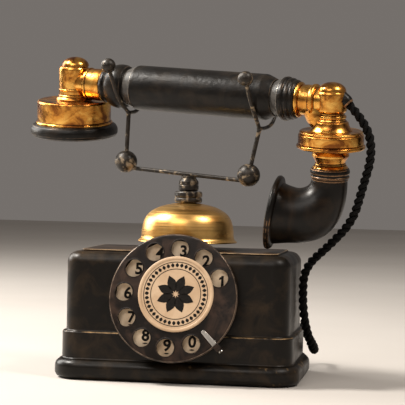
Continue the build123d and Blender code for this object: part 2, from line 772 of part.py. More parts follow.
save("grip_tube", grip_tube(), HANDSET)
save("grip_ring_left", grip_ring_left(), HANDSET)
save("grip_ring_right", grip_ring_right(), HANDSET)
save("barrel_left", barrel_left(), HANDSET)
save("barrel_right", barrel_right(), HANDSET)
save("elbow_left", elbow_left(), EAR)
save("elbow_cap_left", Pos(CAP_SHIFT, 0, 0) * dome(9.5, EAR_SEAM, 6.6), EAR)
save("elbow_right", elbow_right(), MOUTH)
save("elbow_cap_right", dome(9.2, MOUTH_SEAM, 6.2), MOUTH)
save("receiver_cup", receiver_cup(), EAR)
save("ear_cap", ear_cap(), EAR)
save("receiver_diaphragm", disc(24.0, -29.2, -28.9), EAR)
save("receiver_magnet", receiver_magnet(), EAR)
save("transmitter_top", transmitter_top(), MOUTH)
save("transmitter_body", transmitter_body(), MOUTH)
save("transmitter_capsule", transmitter_capsule(), MOUTH)
save("transmitter_neck", transmitter_neck(), MOUTH)
save("mouth_horn", mouth_horn(), HORN)
save("handset_gland", handset_gland(), MOUTH)


# ---------------------------------------------------------------- cord

# hand-laid points, from the gland in the rear wall to the gland on the mouth-end elbow
CORD_ROUTE = [
    (42.0, 53.0, 46.0), (42.0, 72.0, 46.0), (52.0, 88.0, 40.0), (70.0, 88.0, 28.0), (81.5, 68.0, 18.0),
    (85.2, 45.0, 14.5), (85.0, 23.0, 20.0), (80.6, 10.5, 36.5), (78.9, 8.0, 56.0), (80.2, 4.0, 76.0),
    (97.4, -4.0, 91.4), (113.4, -12.0, 108.6), (119.6, -18.0, 131.0), (126.0, -24.5, 153.0),
    (122.4, -29.8, 172.4), (110.3, -28.3, 185.1),
]


def cord_tube(points):
    """Tube along straight runs joined by tangent arcs; prints its radii and length."""
    corners_ = [Vector(*p) for p in points]
    edges = []
    start = corners_[0]
    for before, corner, after in zip(corners_, corners_[1:], corners_[2:]):
        come = corner - before
        go = after - corner
        half_turn = radians(come.get_angle(go)) / 2
        cut = CORD_RUN_SHARE * min(come.length, go.length)
        first = corner - come.normalized() * cut
        last = corner + go.normalized() * cut
        edges.append(Line(start, first))
        edges.append(TangentArc(first, last, tangent=come.normalized()))
        print("bend radius", round(cut / tan(half_turn), 1), "turn", round(2 * half_turn * 180 / pi, 1))
        start = last
    edges.append(Line(start, corners_[-1]))
    path = Wire(edges)
    print("cord length", round(path.length, 1))
    profile = Plane(origin=corners_[0], z_dir=corners_[1] - corners_[0]) * Circle(CORD_RADIUS)
    tube = sweep(profile, path=path)
    print("section times length", round(pi * CORD_RADIUS**2 * path.length), "volume", round(tube.volume))
    return tube


save("handset_cord", cord_tube(CORD_ROUTE))
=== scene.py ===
import json
import math

import bmesh
import bpy
from mathutils import Matrix, Vector


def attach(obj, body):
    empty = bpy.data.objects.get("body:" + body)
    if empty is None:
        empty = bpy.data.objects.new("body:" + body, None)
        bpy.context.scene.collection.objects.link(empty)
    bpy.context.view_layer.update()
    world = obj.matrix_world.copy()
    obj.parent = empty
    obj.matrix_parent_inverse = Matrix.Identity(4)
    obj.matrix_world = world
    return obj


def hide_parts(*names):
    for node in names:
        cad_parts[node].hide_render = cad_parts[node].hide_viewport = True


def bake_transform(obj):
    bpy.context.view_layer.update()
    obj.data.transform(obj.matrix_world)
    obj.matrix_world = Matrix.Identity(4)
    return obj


# Antique-style desk telephone: lacquered case, dial, brass bell, wire cradle, brass handset.
# The scene is in metres. Outlines and sizes are written in millimetres and scaled by MM.

MM = 0.001

# ---- case: offsets are from the upper tier's outline, the rest are heights and radii
UPPER_HALF = (75.0, 45.5)
UPPER_CORNER = 11.0
MIDDLE_OFFSET = 2.6
FLANGE_OFFSET = 7.3
FLANGE_BOTTOM = 0.6
FLANGE_TOP = 13.5
MIDDLE_TOP = 32.0
SHELL_TOP = 84.8
TOP_ROUND = 7.5
LID_HALF = (66.0, 36.5)
LID_TOP = 86.1
PAD_TOP = 1.5
PAD_INSET = 6.0
BOTTOM_ROUND = 4.0
FLANGE_ROUND = 5.5
MIDDLE_ROUND = 1.5
REAR_BUSH_AT = (42.0, 45.5, 46.0)

# ---- bell and plunger
GONG_RIM = 91.0
GONG_TOP = 117.9
GONG_THICKNESS = 1.3

# ---- dial
DIAL_CENTRE = (0.0, -53.9, 56.7)
DIAL_LEAN = 13.1
WHEEL_RADIUS = 42.5
HOLE_CIRCLE = 32.9
HOLE_RADIUS = 5.9
FIRST_HOLE = 24.9
HOLE_STEP = 30.0
HOLES = 10
PAN_RADIUS = 40.9
PLATE_FRONT = -4.2
PLATE_BACK = -4.8
POCKET_DEPTH = 8.2
PRINT_BOTTOM = 0.78
PRINT_TOP = 0.84
LEAF_BOTTOM = 0.79
LEAF_THICKNESS = 0.06
CARD_OFFSET = (1.9, 2.4)
CARD_RADIUS = 22.8
CARD_RING_RADIUS = 25.0
ROSETTE_LEAVES = 8
BORDER_LEAVES = 40
STOP_ANGLE = -45.5
STOP_HALF_THICKNESS = 0.45
STOP_ROOT_HALF_WIDTH = 2.0
STOP_TIP = 29.5
STOP_TIP_HALF_WIDTH = 1.35
STOP_TAPER = 0.03
STOP_ROUND_FROM = 30.6
STOP_ROUND_LENGTH = 1.2
DIGIT_HEIGHT = 7.4

# ---- cradle
CRADLE_TURN = -16.5
LEFT_BALL = (-48.9, 0.0, 145.1)
RIGHT_BALL = (44.6, 0.0, 137.5)
BAR_DROP = 4.0
BALL_RADIUS = 7.8
TIP_RADIUS = 5.1
BALL_FLAT = 0.02
WIRE_RADIUS = 1.45
LEFT_JUNCTION = (-47.6, 0.0, 179.0)
RIGHT_JUNCTION = (51.8, 0.0, 168.7)

# ---- handset
HANDSET_PLACE = (4.87, 4.0, 193.6)
HANDSET_TILT = 3.9
HANDSET_ROLL = 9.4
GRIP_RADIUS = 15.5
EAR_X = -99.3
MOUTH_X = 97.0
HORN_TWIST = 12.5
CAP_SHIFT = 1.2
HORN_WALL = 2.2

# ---- cord
CORD_DIAMETER = 6.3
STRAND_PITCH = 10.0
STRAND_OVERLAP = 1.02

# ---- camera: places in metres, lens and sensor in millimetres
CAMERA_AT = (0.1810, -1.0846, 0.1400)
CAMERA_TARGET = (0.0098, 0.0, 0.1182)
CAMERA_ROLL = -1.23
CAMERA_LENS = 142.9
SENSOR = 36.0

# ---- mesh making
SHARP_ANGLE = 38.0
ON_AXIS = 0.01
ROUNDED_BEND = 22.0
CORNER_STEPS = 10
CUTTER_STEPS = 64
HORN_STEPS = 96
LINE_STEPS = 128


def shift(x, y, z):
    return Matrix.Translation(Vector((x, y, z)) * MM)


def turn(axis, degrees):
    return Matrix.Rotation(math.radians(degrees), 4, axis)


HERE = Matrix.Identity(4)
CRADLE = turn("Z", CRADLE_TURN)
DIAL = shift(*DIAL_CENTRE) @ turn("X", 90.0 - DIAL_LEAN)
HANDSET = CRADLE @ shift(*HANDSET_PLACE) @ turn("Y", HANDSET_TILT) @ turn("X", HANDSET_ROLL)
ALONG = HANDSET @ turn("Y", 90.0)
EAR = HANDSET @ shift(EAR_X, 0, 0)
MOUTH = HANDSET @ shift(MOUTH_X, 0, 0)
HORN = MOUTH @ turn("Z", HORN_TWIST)


# ---------------------------------------------------------------- materials

class Paint:
    """A procedural material being put together."""

    def __init__(self, name, color, metallic, roughness):
        self.material = bpy.data.materials.new(name)
        self.material.use_nodes = True
        self.nodes = self.material.node_tree.nodes
        self.links = self.material.node_tree.links
        self.shader = self.nodes["Principled BSDF"]
        self.shader.inputs["Base Color"].default_value = (*color, 1.0)
        self.shader.inputs["Metallic"].default_value = metallic
        self.shader.inputs["Roughness"].default_value = roughness
        self.coords = self.nodes.new("ShaderNodeTexCoord").outputs["Object"]

    def link(self, source, target):
        self.links.new(source, target)

    def stretched(self, scale):
        mapping = self.nodes.new("ShaderNodeMapping")
        mapping.inputs["Scale"].default_value = scale
        self.link(self.coords, mapping.inputs["Vector"])
        return mapping.outputs["Vector"]

    def noise(self, scale, detail=4.0, vector=None, distortion=0.0):
        node = self.nodes.new("ShaderNodeTexNoise")
        node.inputs["Scale"].default_value = scale
        node.inputs["Detail"].default_value = detail
        node.inputs["Roughness"].default_value = 0.6
        node.inputs["Distortion"].default_value = distortion
        self.link(vector or self.coords, node.inputs["Vector"])
        return node.outputs["Fac"]

    def ramp(self, value, stops):
        """Colour ramp; each stop is (position, colour)."""
        node = self.nodes.new("ShaderNodeValToRGB")
        elements = node.color_ramp.elements
        while len(elements) < len(stops):
            elements.new(0.5)
        for element, (position, color) in zip(elements, stops):
            element.position = position
            element.color = (*color, 1.0)
        self.link(value, node.inputs["Fac"])
        return node.outputs["Color"]

    def spread(self, value, low, high, to_low, to_high):
        """Map a value from one range to another."""
        node = self.nodes.new("ShaderNodeMapRange")
        node.inputs["From Min"].default_value = low
        node.inputs["From Max"].default_value = high
        node.inputs["To Min"].default_value = to_low
        node.inputs["To Max"].default_value = to_high
        self.link(value, node.inputs["Value"])
        return node.outputs["Result"]

    def math(self, operation, first, second):
        node = self.nodes.new("ShaderNodeMath")
        node.operation = operation
        for value, socket in zip((first, second), node.inputs):
            if isinstance(value, (int, float)):
                socket.default_value = value
            else:
                self.link(value, socket)
        return node.outputs["Value"]

    def mix(self, factor, first, second):
        node = self.nodes.new("ShaderNodeMix")
        node.data_type = "RGBA"
        self.link(factor, node.inputs["Factor"])
        for value, socket in ((first, node.inputs["A"]), (second, node.inputs["B"])):
            if isinstance(value, tuple):
                socket.default_value = (*value, 1.0)
            else:
                self.link(value, socket)
        return node.outputs["Result"]

    def attribute(self, name):
        node = self.nodes.new("ShaderNodeAttribute")
        node.attribute_name = name
        return node.outputs["Fac"]

    def feed(self, socket, value):
        self.link(value, self.shader.inputs[socket])

    def bump(self, height, strength, distance=0.0003):
        node = self.nodes.new("ShaderNodeBump")
        node.inputs["Strength"].default_value = strength
        node.inputs["Distance"].default_value = distance
        self.link(height, node.inputs["Height"])
        previous = self.shader.inputs["Normal"]
        if previous.is_linked:
            self.link(previous.links[0].from_socket, node.inputs["Normal"])
        self.link(node.outputs["Normal"], previous)


def brass(name, bright, dull, brown, grime_and_shade, roughness, hammer):
    """Old gilt brass: golden over orange and brown patches, with dark specks of soiling, and painted
    shade that darkens the inner corners.
    """
    paint = Paint(name, bright, 1.0, roughness)
    patches = paint.noise(70.0, 8.0, distortion=0.9)
    gold = paint.ramp(patches, [(0.38, brown), (0.48, dull), (0.62, bright)])
    specks = paint.noise(260.0, 7.0, distortion=0.5)
    # painted shade: the hollow mark darkens inner corners, on top of the random dark specks
    dirt_and_shade = paint.math("ADD", paint.math("MULTIPLY", paint.attribute("hollow"), 0.5), specks)
    dirt_and_shade = paint.spread(dirt_and_shade, 0.62, 0.80, 0.0, 0.95)
    paint.feed("Base Color", paint.mix(dirt_and_shade, gold, grime_and_shade))
    rough = paint.spread(paint.noise(110.0, 6.0), 0.35, 0.65, roughness - 0.08, roughness + 0.1)
    paint.feed("Roughness", paint.math("ADD", rough, paint.math("MULTIPLY", dirt_and_shade, 0.25)))
    paint.bump(specks, hammer, 0.0004)
    paint.bump(paint.noise(60.0, 3.0), hammer * 2.2, 0.0012)
    return paint.material


def spun_brass(name, bright, dull, grime_and_shade, roughness):
    """Spun bell brass with fine rings round its axis, a few dark streaks, and painted shade darkening
    the inner corners.
    """
    paint = Paint(name, bright, 1.0, roughness)
    rings = paint.noise(9.0, 8.0, paint.stretched((1.0, 1.0, 130.0)))
    patches = paint.noise(28.0, 5.0, distortion=0.5)
    gold = paint.ramp(patches, [(0.36, dull), (0.58, bright)])
    streaks = paint.spread(rings, 0.62, 0.76, 0.0, 0.55)
    # painted shade in the inner corners, marked by hollow
    hollow = paint.math("MULTIPLY", paint.attribute("hollow"), 0.5)
    paint.feed("Base Color", paint.mix(paint.math("MAXIMUM", streaks, hollow), gold, grime_and_shade))
    paint.feed("Roughness", paint.spread(rings, 0.35, 0.7, roughness - 0.06, roughness + 0.14))
    paint.bump(rings, 0.07, 0.0003)
    return paint.material


def lacquer(name, black, brown, metal, gloss, rub_and_glint_level, leather=0.08):
    """Black lacquer with a brownish mottle, rubbed through to metal along its edges; the same lighter
    colour also paints highlights: glints on the case's ledges and coves, a line along the lid's top
    edge, and the sheen of the grip's end cones.
    """
    paint = Paint(name, black, 0.0, gloss)
    mottle = paint.ramp(paint.noise(60.0, 8.0, distortion=0.8), [(0.46, black), (0.72, brown)])
    grain = paint.noise(230.0, 8.0)
    broad = paint.noise(38.0, 4.0)
    # rubbed edges, and painted highlights where the case, the lid and the grip's end cones are marked
    # for glints
    rub_and_glint = paint.math("MULTIPLY", paint.attribute("wear_and_glint"), 0.45)
    rub_and_glint = paint.math("ADD", paint.math("ADD", rub_and_glint, paint.math("MULTIPLY", grain, 0.5)),
                     paint.math("MULTIPLY", broad, 0.5))
    rub_and_glint = paint.spread(rub_and_glint, rub_and_glint_level, rub_and_glint_level + 0.14, 0.0, 0.85)
    paint.feed("Base Color", paint.mix(rub_and_glint, mottle, metal))
    paint.feed("Metallic", paint.math("MULTIPLY", rub_and_glint, 0.7))
    paint.feed("Roughness", paint.spread(broad, 0.35, 0.7, gloss - 0.05, gloss + 0.12))
    paint.shader.inputs["Specular IOR Level"].default_value = 0.2
    paint.bump(grain, leather, 0.0004)
    return paint.material


def dark_iron(name, color, fleck, roughness):
    """Blackened iron with a coarse skin and pale rubbed flecks."""
    paint = Paint(name, color, 0.35, roughness)
    skin = paint.noise(320.0, 8.0)
    flecks = paint.spread(paint.noise(150.0, 8.0, distortion=0.8), 0.54, 0.66, 0.0, 0.75)
    base = paint.ramp(skin, [(0.42, color), (0.78, tuple(2.6 * c + 0.012 for c in color))])
    paint.feed("Base Color", paint.mix(flecks, base, fleck))
    paint.feed("Roughness", paint.spread(skin, 0.3, 0.7, roughness - 0.1, roughness + 0.15))
    paint.bump(skin, 0.25, 0.0004)
    return paint.material


def bright_steel(name, color, roughness):
    paint = Paint(name, color, 1.0, roughness)
    brushed = paint.noise(50.0, 6.0, paint.stretched((1.0, 12.0, 12.0)))
    paint.feed("Roughness", paint.spread(brushed, 0.3, 0.7, roughness, roughness + 0.2))
    paint.bump(brushed, 0.06)
    return paint.material


def enamel(name, color, stain, roughness):
    """Cream enamel or card with faint age stains."""
    paint = Paint(name, color, 0.0, roughness)
    stains = paint.noise(60.0, 6.0, distortion=0.5)
    paint.feed("Base Color", paint.ramp(stains, [(0.38, stain), (0.6, color)]))
    paint.feed("Roughness", paint.spread(stains, 0.3, 0.7, roughness - 0.08, roughness + 0.1))
    paint.bump(paint.noise(500.0, 3.0), 0.03)
    return paint.material


def fibres(name, color, light, scale, roughness):
    """Felt, braid or wound wire: fine threads over a dark ground."""
    paint = Paint(name, color, 0.0, roughness)
    threads = paint.noise(scale, 8.0, paint.stretched((1.0, 1.0, 2.5)))
    paint.feed("Base Color", paint.ramp(threads, [(0.4, color), (0.7, light)]))
    paint.feed("Roughness", paint.spread(threads, 0.3, 0.7, roughness - 0.1, roughness + 0.1))
    paint.shader.inputs["Specular IOR Level"].default_value = 0.12
    paint.bump(threads, 0.5, 0.0004)
    return paint.material


# dark brown of soiling specks, also painted into the inner corners of the brass as shade
GRIME_AND_SHADE = (0.055, 0.022, 0.008)
# recipe and values of each slot's material and of the paints used in its place
RECIPES = {
    # the black lacquer's light rubbed colour also paints glints, painted highlights, on the case's
    # ledges and coves
    "black_lacquer": (lacquer, (0.0055, 0.0042, 0.0030), (0.030, 0.019, 0.010), (0.36, 0.23, 0.11),
        0.36, 0.82),
    # the lid's pale rubbed colour also paints the highlight line along its top edge
    "lid_bronze": (lacquer, (0.018, 0.011, 0.007), (0.055, 0.031, 0.016), (0.50, 0.34, 0.19), 0.36,
        0.78),
    "brass": (brass, (0.82, 0.46, 0.11), (0.58, 0.25, 0.045), (0.22, 0.075, 0.018), GRIME_AND_SHADE, 0.26, 0.2),
    "bell_brass": (spun_brass, (0.90, 0.56, 0.19), (0.68, 0.33, 0.075), GRIME_AND_SHADE, 0.31),
    "wire_iron": (dark_iron, (0.010, 0.0065, 0.0035), (0.42, 0.32, 0.21), 0.42),
    "dial_black": (lacquer, (0.0085, 0.0060, 0.0048), (0.056, 0.033, 0.023), (0.30, 0.22, 0.16), 0.34,
        0.86),
    "grip_black": (lacquer, (0.0050, 0.0042, 0.0036), (0.021, 0.015, 0.010), (0.14, 0.10, 0.07), 0.34,
        0.92, 0.75),
    # the grip's end cones: the lighter base and low threshold paint their white highlight, along with
    # rubbed metal
    "rubbed_and_highlight_black": (lacquer, (0.045, 0.042, 0.039), (0.12, 0.11, 0.10), (0.42, 0.38, 0.33), 0.24, 0.62,
        0.25),
    "horn_black": (lacquer, (0.0048, 0.0038, 0.0030), (0.022, 0.013, 0.007), (0.36, 0.20, 0.10), 0.34,
        0.80, 0.10),
    "cream_plate": (enamel, (0.82, 0.65, 0.46), (0.60, 0.43, 0.27), 0.42),
    "cream_card": (enamel, (0.58, 0.41, 0.26), (0.48, 0.32, 0.19), 0.48),
    "steel": (bright_steel, (0.48, 0.45, 0.41), 0.24),
    "felt": (fibres, (0.020, 0.026, 0.020), (0.06, 0.07, 0.055), 900.0, 0.95),
    "iron_core": (dark_iron, (0.10, 0.095, 0.09), (0.3, 0.28, 0.25), 0.5),
    "copper_wire": (fibres, (0.20, 0.06, 0.02), (0.45, 0.17, 0.06), 400.0, 0.5),
    "bakelite": (lacquer, (0.05, 0.022, 0.012), (0.09, 0.04, 0.02), (0.12, 0.06, 0.03), 0.28, 1.20),
    "rubber": (fibres, (0.014, 0.014, 0.014), (0.03, 0.03, 0.03), 300.0, 0.7),
    "cord_braid": (fibres, (0.0015, 0.0014, 0.0014), (0.006, 0.0055, 0.005), 1400.0, 0.70),
    "ink": (fibres, (0.006, 0.005, 0.004), (0.014, 0.011, 0.009), 500.0, 0.7),
}
MATERIALS = {name: recipe(name, *values) for name, (recipe, *values) in RECIPES.items()}


# ---------------------------------------------------------------- mesh helpers

def add_object(name, data):
    thing = bpy.data.objects.new(name, data)
    bpy.context.scene.collection.objects.link(thing)
    return thing


def finish_mesh(name, bm, place, slot, body, nodes=(), sharp=SHARP_ANGLE, paint=None):
    """Turn a bmesh into a shaded piece that rides on a body and stands for CAD nodes.

    paint names a material to show in place of the slot's own.
    """
    mesh = bpy.data.meshes.new(name)
    bmesh.ops.recalc_face_normals(bm, faces=bm.faces)
    bm.to_mesh(mesh)
    bm.free()
    mesh.shade_smooth()
    mesh.set_sharp_from_angle(angle=math.radians(sharp))
    piece = add_object(name, mesh)
    piece.matrix_world = place
    mesh.materials.append(MATERIALS[paint or slot])
    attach(piece, body)
    if nodes:
        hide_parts(*nodes)
    return piece


def weighted(piece):
    """Keep broad faces flat beside small rounded edges."""
    modifier = piece.modifiers.new("weighted", "WEIGHTED_NORMAL")
    modifier.keep_sharp = True
    return piece


def soft_edges(piece, width):
    """Bevel the sharp edges by a width in millimetres."""
    modifier = piece.modifiers.new("edges", "BEVEL")
    modifier.width = width * MM
    modifier.segments = 2
    modifier.limit_method = "ANGLE"
    modifier.angle_limit = math.radians(SHARP_ANGLE)
    weighted(piece)


def rounded(outline, radius):
    """Round the sharp corners of a closed outline, as (x, y, wear).

    Wear is 1 on an outer corner, -1 in an inner one and 0 elsewhere; lathe() turns the -1 into the
    hollow mark, which the brass paints darker as painted shade.
    """
    result = []
    count = len(outline)
    area = sum(a[0] * b[1] - b[0] * a[1] for a, b in zip(outline, outline[1:] + outline[:1]))
    for i, point in enumerate(outline):
        here = Vector(point)
        back = Vector(outline[i - 1]) - here
        ahead = Vector(outline[(i + 1) % count]) - here
        if min(back.length, ahead.length) < 0.001:
            continue
        bend = 180.0 - math.degrees(back.angle(ahead, math.pi))
        if bend < ROUNDED_BEND:
            result.append((*point, 0.0))
            continue
        reach = min(radius, 0.42 * back.length, 0.42 * ahead.length)
        guard = min(1.6 * radius, 0.48 * back.length, 0.48 * ahead.length)
        start = here + back.normalized() * reach
        end = here + ahead.normalized() * reach
        result.append((*(here + back.normalized() * guard), 0.0))
        cross = back.x * ahead.y - back.y * ahead.x
        wear_and_painted_light = 1.0 if cross * area < 0 else -1.0
        for step in range(5):
            t = step / 4
            at = start * (1 - t) ** 2 + here * 2 * t * (1 - t) + end * t * t
            result.append((*at, wear_and_painted_light))
        result.append((*(here + ahead.normalized() * guard), 0.0))
    return result


def curve_through(points, steps):
    """Smooth curve through points of any dimension (Catmull-Rom)."""
    ends = [points[0]] + list(points) + [points[-1]]
    ends[0] = tuple(2 * a - b for a, b in zip(points[0], points[1]))
    ends[-1] = tuple(2 * a - b for a, b in zip(points[-1], points[-2]))
    result = []
    for p0, p1, p2, p3 in zip(ends, ends[1:], ends[2:], ends[3:]):
        for step in range(steps):
            t = step / steps
            result.append(tuple(
                0.5 * (2 * b + (c - a) * t + (2 * a - 5 * b + 4 * c - d) * t * t
                       + (3 * b - a - 3 * c + d) * t ** 3)
                for a, b, c, d in zip(p0, p1, p2, p3)
            ))
    result.append(tuple(points[-1]))
    return result


def lathe(name, outline, place, slot, body, nodes=(), edge=0.35, steps=96, paint=None):
    """Turned piece from a closed section of (radius, height) points; edge rounds its corners."""
    bm = bmesh.new()
    # the outer-corner mark shows rubbed edges, and on the grip's end cones it also helps paint a
    # highlight
    wear_and_glint = bm.verts.layers.float.new("wear_and_glint")
    # hollow marks inner corners, which the brass materials darken as painted shade
    hollow = bm.verts.layers.float.new("hollow")
    columns = []
    profile = rounded(outline, edge) if edge else [(r, z, 0.0) for r, z in outline]
    for r, z, wear_and_painted_light in profile:
        if r < ON_AXIS:
            vert = bm.verts.new((0, 0, z * MM))
            columns.append([vert] * steps)
            continue
        ring = []
        for step in range(steps):
            angle = 2 * math.pi * step / steps
            vert = bm.verts.new((r * MM * math.cos(angle), r * MM * math.sin(angle), z * MM))
            vert[wear_and_glint] = max(wear_and_painted_light, 0.0)
            vert[hollow] = max(-wear_and_painted_light, 0.0)
            ring.append(vert)
        columns.append(ring)
    bridge(bm, columns, closed=True)
    return weighted(finish_mesh(name, bm, place, slot, body, nodes, paint=paint))


def bridge(bm, rings, closed=False):
    """Faces between neighbouring rings of vertices; closed joins the last ring to the first."""
    pairs = list(zip(rings, rings[1:]))
    if closed:
        pairs.append((rings[-1], rings[0]))
    for low, high in pairs:
        for i in range(len(low)):
            j = (i + 1) % len(low)
            corners = []
            for vert in (low[i], low[j], high[j], high[i]):
                if vert not in corners:
                    corners.append(vert)
            if len(corners) > 2 and not (low[i] is low[j] and high[i] is high[j]):
                bm.faces.new(corners)


def skin(bm, rings):
    """Closed skin: faces between the rings and over both ends."""
    bridge(bm, rings)
    bm.faces.new(rings[0][::-1])
    bm.faces.new(rings[-1])


def add_tube(bm, path, radii, steps=20):
    """Round tube with closed ends along points in millimetres."""
    points = [Vector(p) * MM for p in path]
    tangent = (points[1] - points[0]).normalized()
    side = tangent.orthogonal().normalized()
    rings = []
    for i, point in enumerate(points):
        ahead = points[min(i + 1, len(points) - 1)] - points[max(i - 1, 0)]
        new_tangent = ahead.normalized()
        side = (tangent.rotation_difference(new_tangent) @ side).normalized()
        tangent = new_tangent
        other = tangent.cross(side)
        ring = []
        for step in range(steps):
            angle = 2 * math.pi * step / steps
            out = side * math.cos(angle) + other * math.sin(angle)
            ring.append(bm.verts.new(point + out * radii[i] * MM))
        rings.append(ring)
    skin(bm, rings)


def add_ball(bm, centre, radius, flat=0.0):
    """Ball, slightly flattened at its poles where a turner leaves a small land."""
    made = bmesh.ops.create_uvsphere(bm, u_segments=40, v_segments=24, radius=radius * MM)
    limit = radius * MM * (1 - flat)
    for vert in made["verts"]:
        vert.co.z = max(-limit, min(limit, vert.co.z))
        vert.co += Vector(centre) * MM


def slab(name, half, corner, profile, place, slot, body, nodes=()):
    """Block with rounded corners; profile lists (inset, height, wear) from the bottom to the top; on the
    case and lid the wear value also paints glints and highlight lines.
    """
    bm = bmesh.new()
    wear_and_glint = bm.verts.layers.float.new("wear_and_glint")
    rings = []
    for inset, z, wear_and_painted_light in profile:
        radius = max(corner - inset, 0.6)
        ring = []
        for x, y in corner_loop(half[0] - inset, half[1] - inset, radius):
            vert = bm.verts.new((x * MM, y * MM, z * MM))
            vert[wear_and_glint] = wear_and_painted_light
            ring.append(vert)
        rings.append(ring)
    skin(bm, rings)
    return finish_mesh(name, bm, place, slot, body, nodes)


def corner_loop(half_x, half_y, radius):
    """Outline of a rounded rectangle."""
    loop = []
    for quarter, (sx, sy) in enumerate(((1, 1), (-1, 1), (-1, -1), (1, -1))):
        for step in range(CORNER_STEPS + 1):
            angle = math.radians(90 * quarter + 90 * step / CORNER_STEPS)
            x = sx * (half_x - radius) + radius * math.cos(angle)
            y = sy * (half_y - radius) + radius * math.sin(angle)
            loop.append((x, y))
    return loop


def cut(piece, cutters):
    """Subtract closed meshes from a piece and remove them."""
    for cutter in cutters:
        modifier = piece.modifiers.new("cut", "BOOLEAN")
        modifier.operation = "DIFFERENCE"
        modifier.solver = "EXACT"
        modifier.object = cutter
    graph = bpy.context.evaluated_depsgraph_get()
    mesh = bpy.data.meshes.new_from_object(piece.evaluated_get(graph))
    piece.modifiers.clear()
    piece.data = mesh
    for cutter in cutters:
        bpy.data.objects.remove(cutter)
    mesh.shade_smooth()
    mesh.set_sharp_from_angle(angle=math.radians(SHARP_ANGLE))


def cutter_disc(radius, low, high, place, at=(0.0, 0.0)):
    """Plain disc that cut() subtracts and removes."""
    bm = bmesh.new()
    bmesh.ops.create_cone(
        bm, cap_ends=True, segments=CUTTER_STEPS, radius1=radius * MM, radius2=radius * MM,
        depth=(high - low) * MM, matrix=shift(*at, (low + high) / 2),
    )
    mesh = bpy.data.meshes.new("cutter")
    bm.to_mesh(mesh)
    bm.free()
    cutter = add_object("cutter", mesh)
    cutter.matrix_world = place
    return cutter


def ray(radius, degrees):
    """Point at a radius and an angle, as (x, y)."""
    return (radius * math.cos(math.radians(degrees)), radius * math.sin(math.radians(degrees)))


# ---------------------------------------------------------------- case

def quarter_round(centre_offset, centre_z, radius, first, last, wear_and_glint, steps=8):
    """Arc of the case profile as (offset, height, wear); the mark is strongest mid-arc, where it shows
    rubbed edges and also paints a glint, a painted highlight.
    """
    points = []
    for step in range(steps + 1):
        angle = math.radians(first + (last - first) * step / steps)
        wear_and_painted_light = wear_and_glint if 0.2 < step / steps < 0.8 else 0.3 * wear_and_glint
        across, up = radius * math.cos(angle), radius * math.sin(angle)
        points.append((centre_offset + across, centre_z + up, wear_and_painted_light))
    return points


def cove(offset, z, radius):
    """Hollow corner between a ledge and the wall above it, as (offset, height, wear); here the wear
    value paints a glint along the cove, a painted highlight.
    """
    points = []
    for step in range(6):
        angle = math.radians(90 * step / 5)
        across = radius * (1 - math.sin(angle))
        up = radius * (1 - math.cos(angle))
        points.append((offset + across, z + up, 0.45 * math.cos(angle)))
    return points


def case_profile():
    """Section of the three tiers, as (inset from the upper tier, height, wear); the last value shows
    rubbed edges and also paints glints, painted highlights, on the ledges and in the coves.
    """
    profile = quarter_round(FLANGE_OFFSET - BOTTOM_ROUND, FLANGE_BOTTOM + BOTTOM_ROUND, BOTTOM_ROUND,
                            -90, 0, 0.5)
    profile += quarter_round(FLANGE_OFFSET - FLANGE_ROUND, FLANGE_TOP - FLANGE_ROUND, FLANGE_ROUND,
                             0, 78, 0.55)
    profile += cove(MIDDLE_OFFSET, FLANGE_TOP, 1.3)
    profile.append((MIDDLE_OFFSET, MIDDLE_TOP - 3.0, 0.0))
    profile += quarter_round(MIDDLE_OFFSET - MIDDLE_ROUND, MIDDLE_TOP - MIDDLE_ROUND, MIDDLE_ROUND,
                             0, 90, 0.8, 6)
    profile += cove(0.0, MIDDLE_TOP, 1.0)
    profile.append((0.0, SHELL_TOP - TOP_ROUND - 3.0, 0.0))
    profile += quarter_round(-TOP_ROUND, SHELL_TOP - TOP_ROUND, TOP_ROUND, 0, 90, 0.35, 12)
    return [(-offset, z, wear_and_painted_light) for offset, z, wear_and_painted_light in profile]


def build_case():
    case = slab("case", UPPER_HALF, UPPER_CORNER, case_profile(), HERE, "black_lacquer", "case",
                ("case_shell",))
    cut(case, [cutter_disc(PAN_RADIUS + 0.4, -POCKET_DEPTH, 30.0, DIAL)])
    weighted(case)
    low, high = SHELL_TOP - 0.1, LID_TOP
    # the lid's top edge is marked as rubbed, and with the pale rubbed colour this paints a highlight
    # line along it
    lid = [(0.35, low, 0.0), (0.0, low + 0.35, 0.0), (0.0, high - 0.5, 0.4), (0.15, high - 0.15, 1.0),
           (0.5, high, 1.0), (1.6, high, 0.0)]
    weighted(slab("lid", LID_HALF, 5.0, lid, HERE, "lid_bronze", "case", ("lid_plate",)))
    pad_half = [half + FLANGE_OFFSET - PAD_INSET for half in UPPER_HALF]
    pad = [(0.3, 0.0, 0.0), (0.0, 0.3, 0.0), (0.0, PAD_TOP, 0.0)]
    slab("felt_pad", pad_half, 10.0, pad, HERE, "felt", "case", ("base_pad",))


def build_rear_bushes():
    x, y, z = REAR_BUSH_AT
    for name, node, side, bore, slot in (
        ("cord_bush", "cord_gland", 1, 1.5, "brass"),
        ("line_bush", "line_inlet", -1, 2.6, "rubber"),
    ):
        outline = [
            (bore, -6), (3.9, -6), (3.9, 0), (6.2, 0), (6.2, 3.0), (4.9, 3.4), (4.9, 7.5), (bore, 7.5),
        ]
        place = shift(side * x, y, z) @ turn("X", -90)
        lathe(name, outline, place, slot, "case", (node,), steps=48)


# ---------------------------------------------------------------- bell

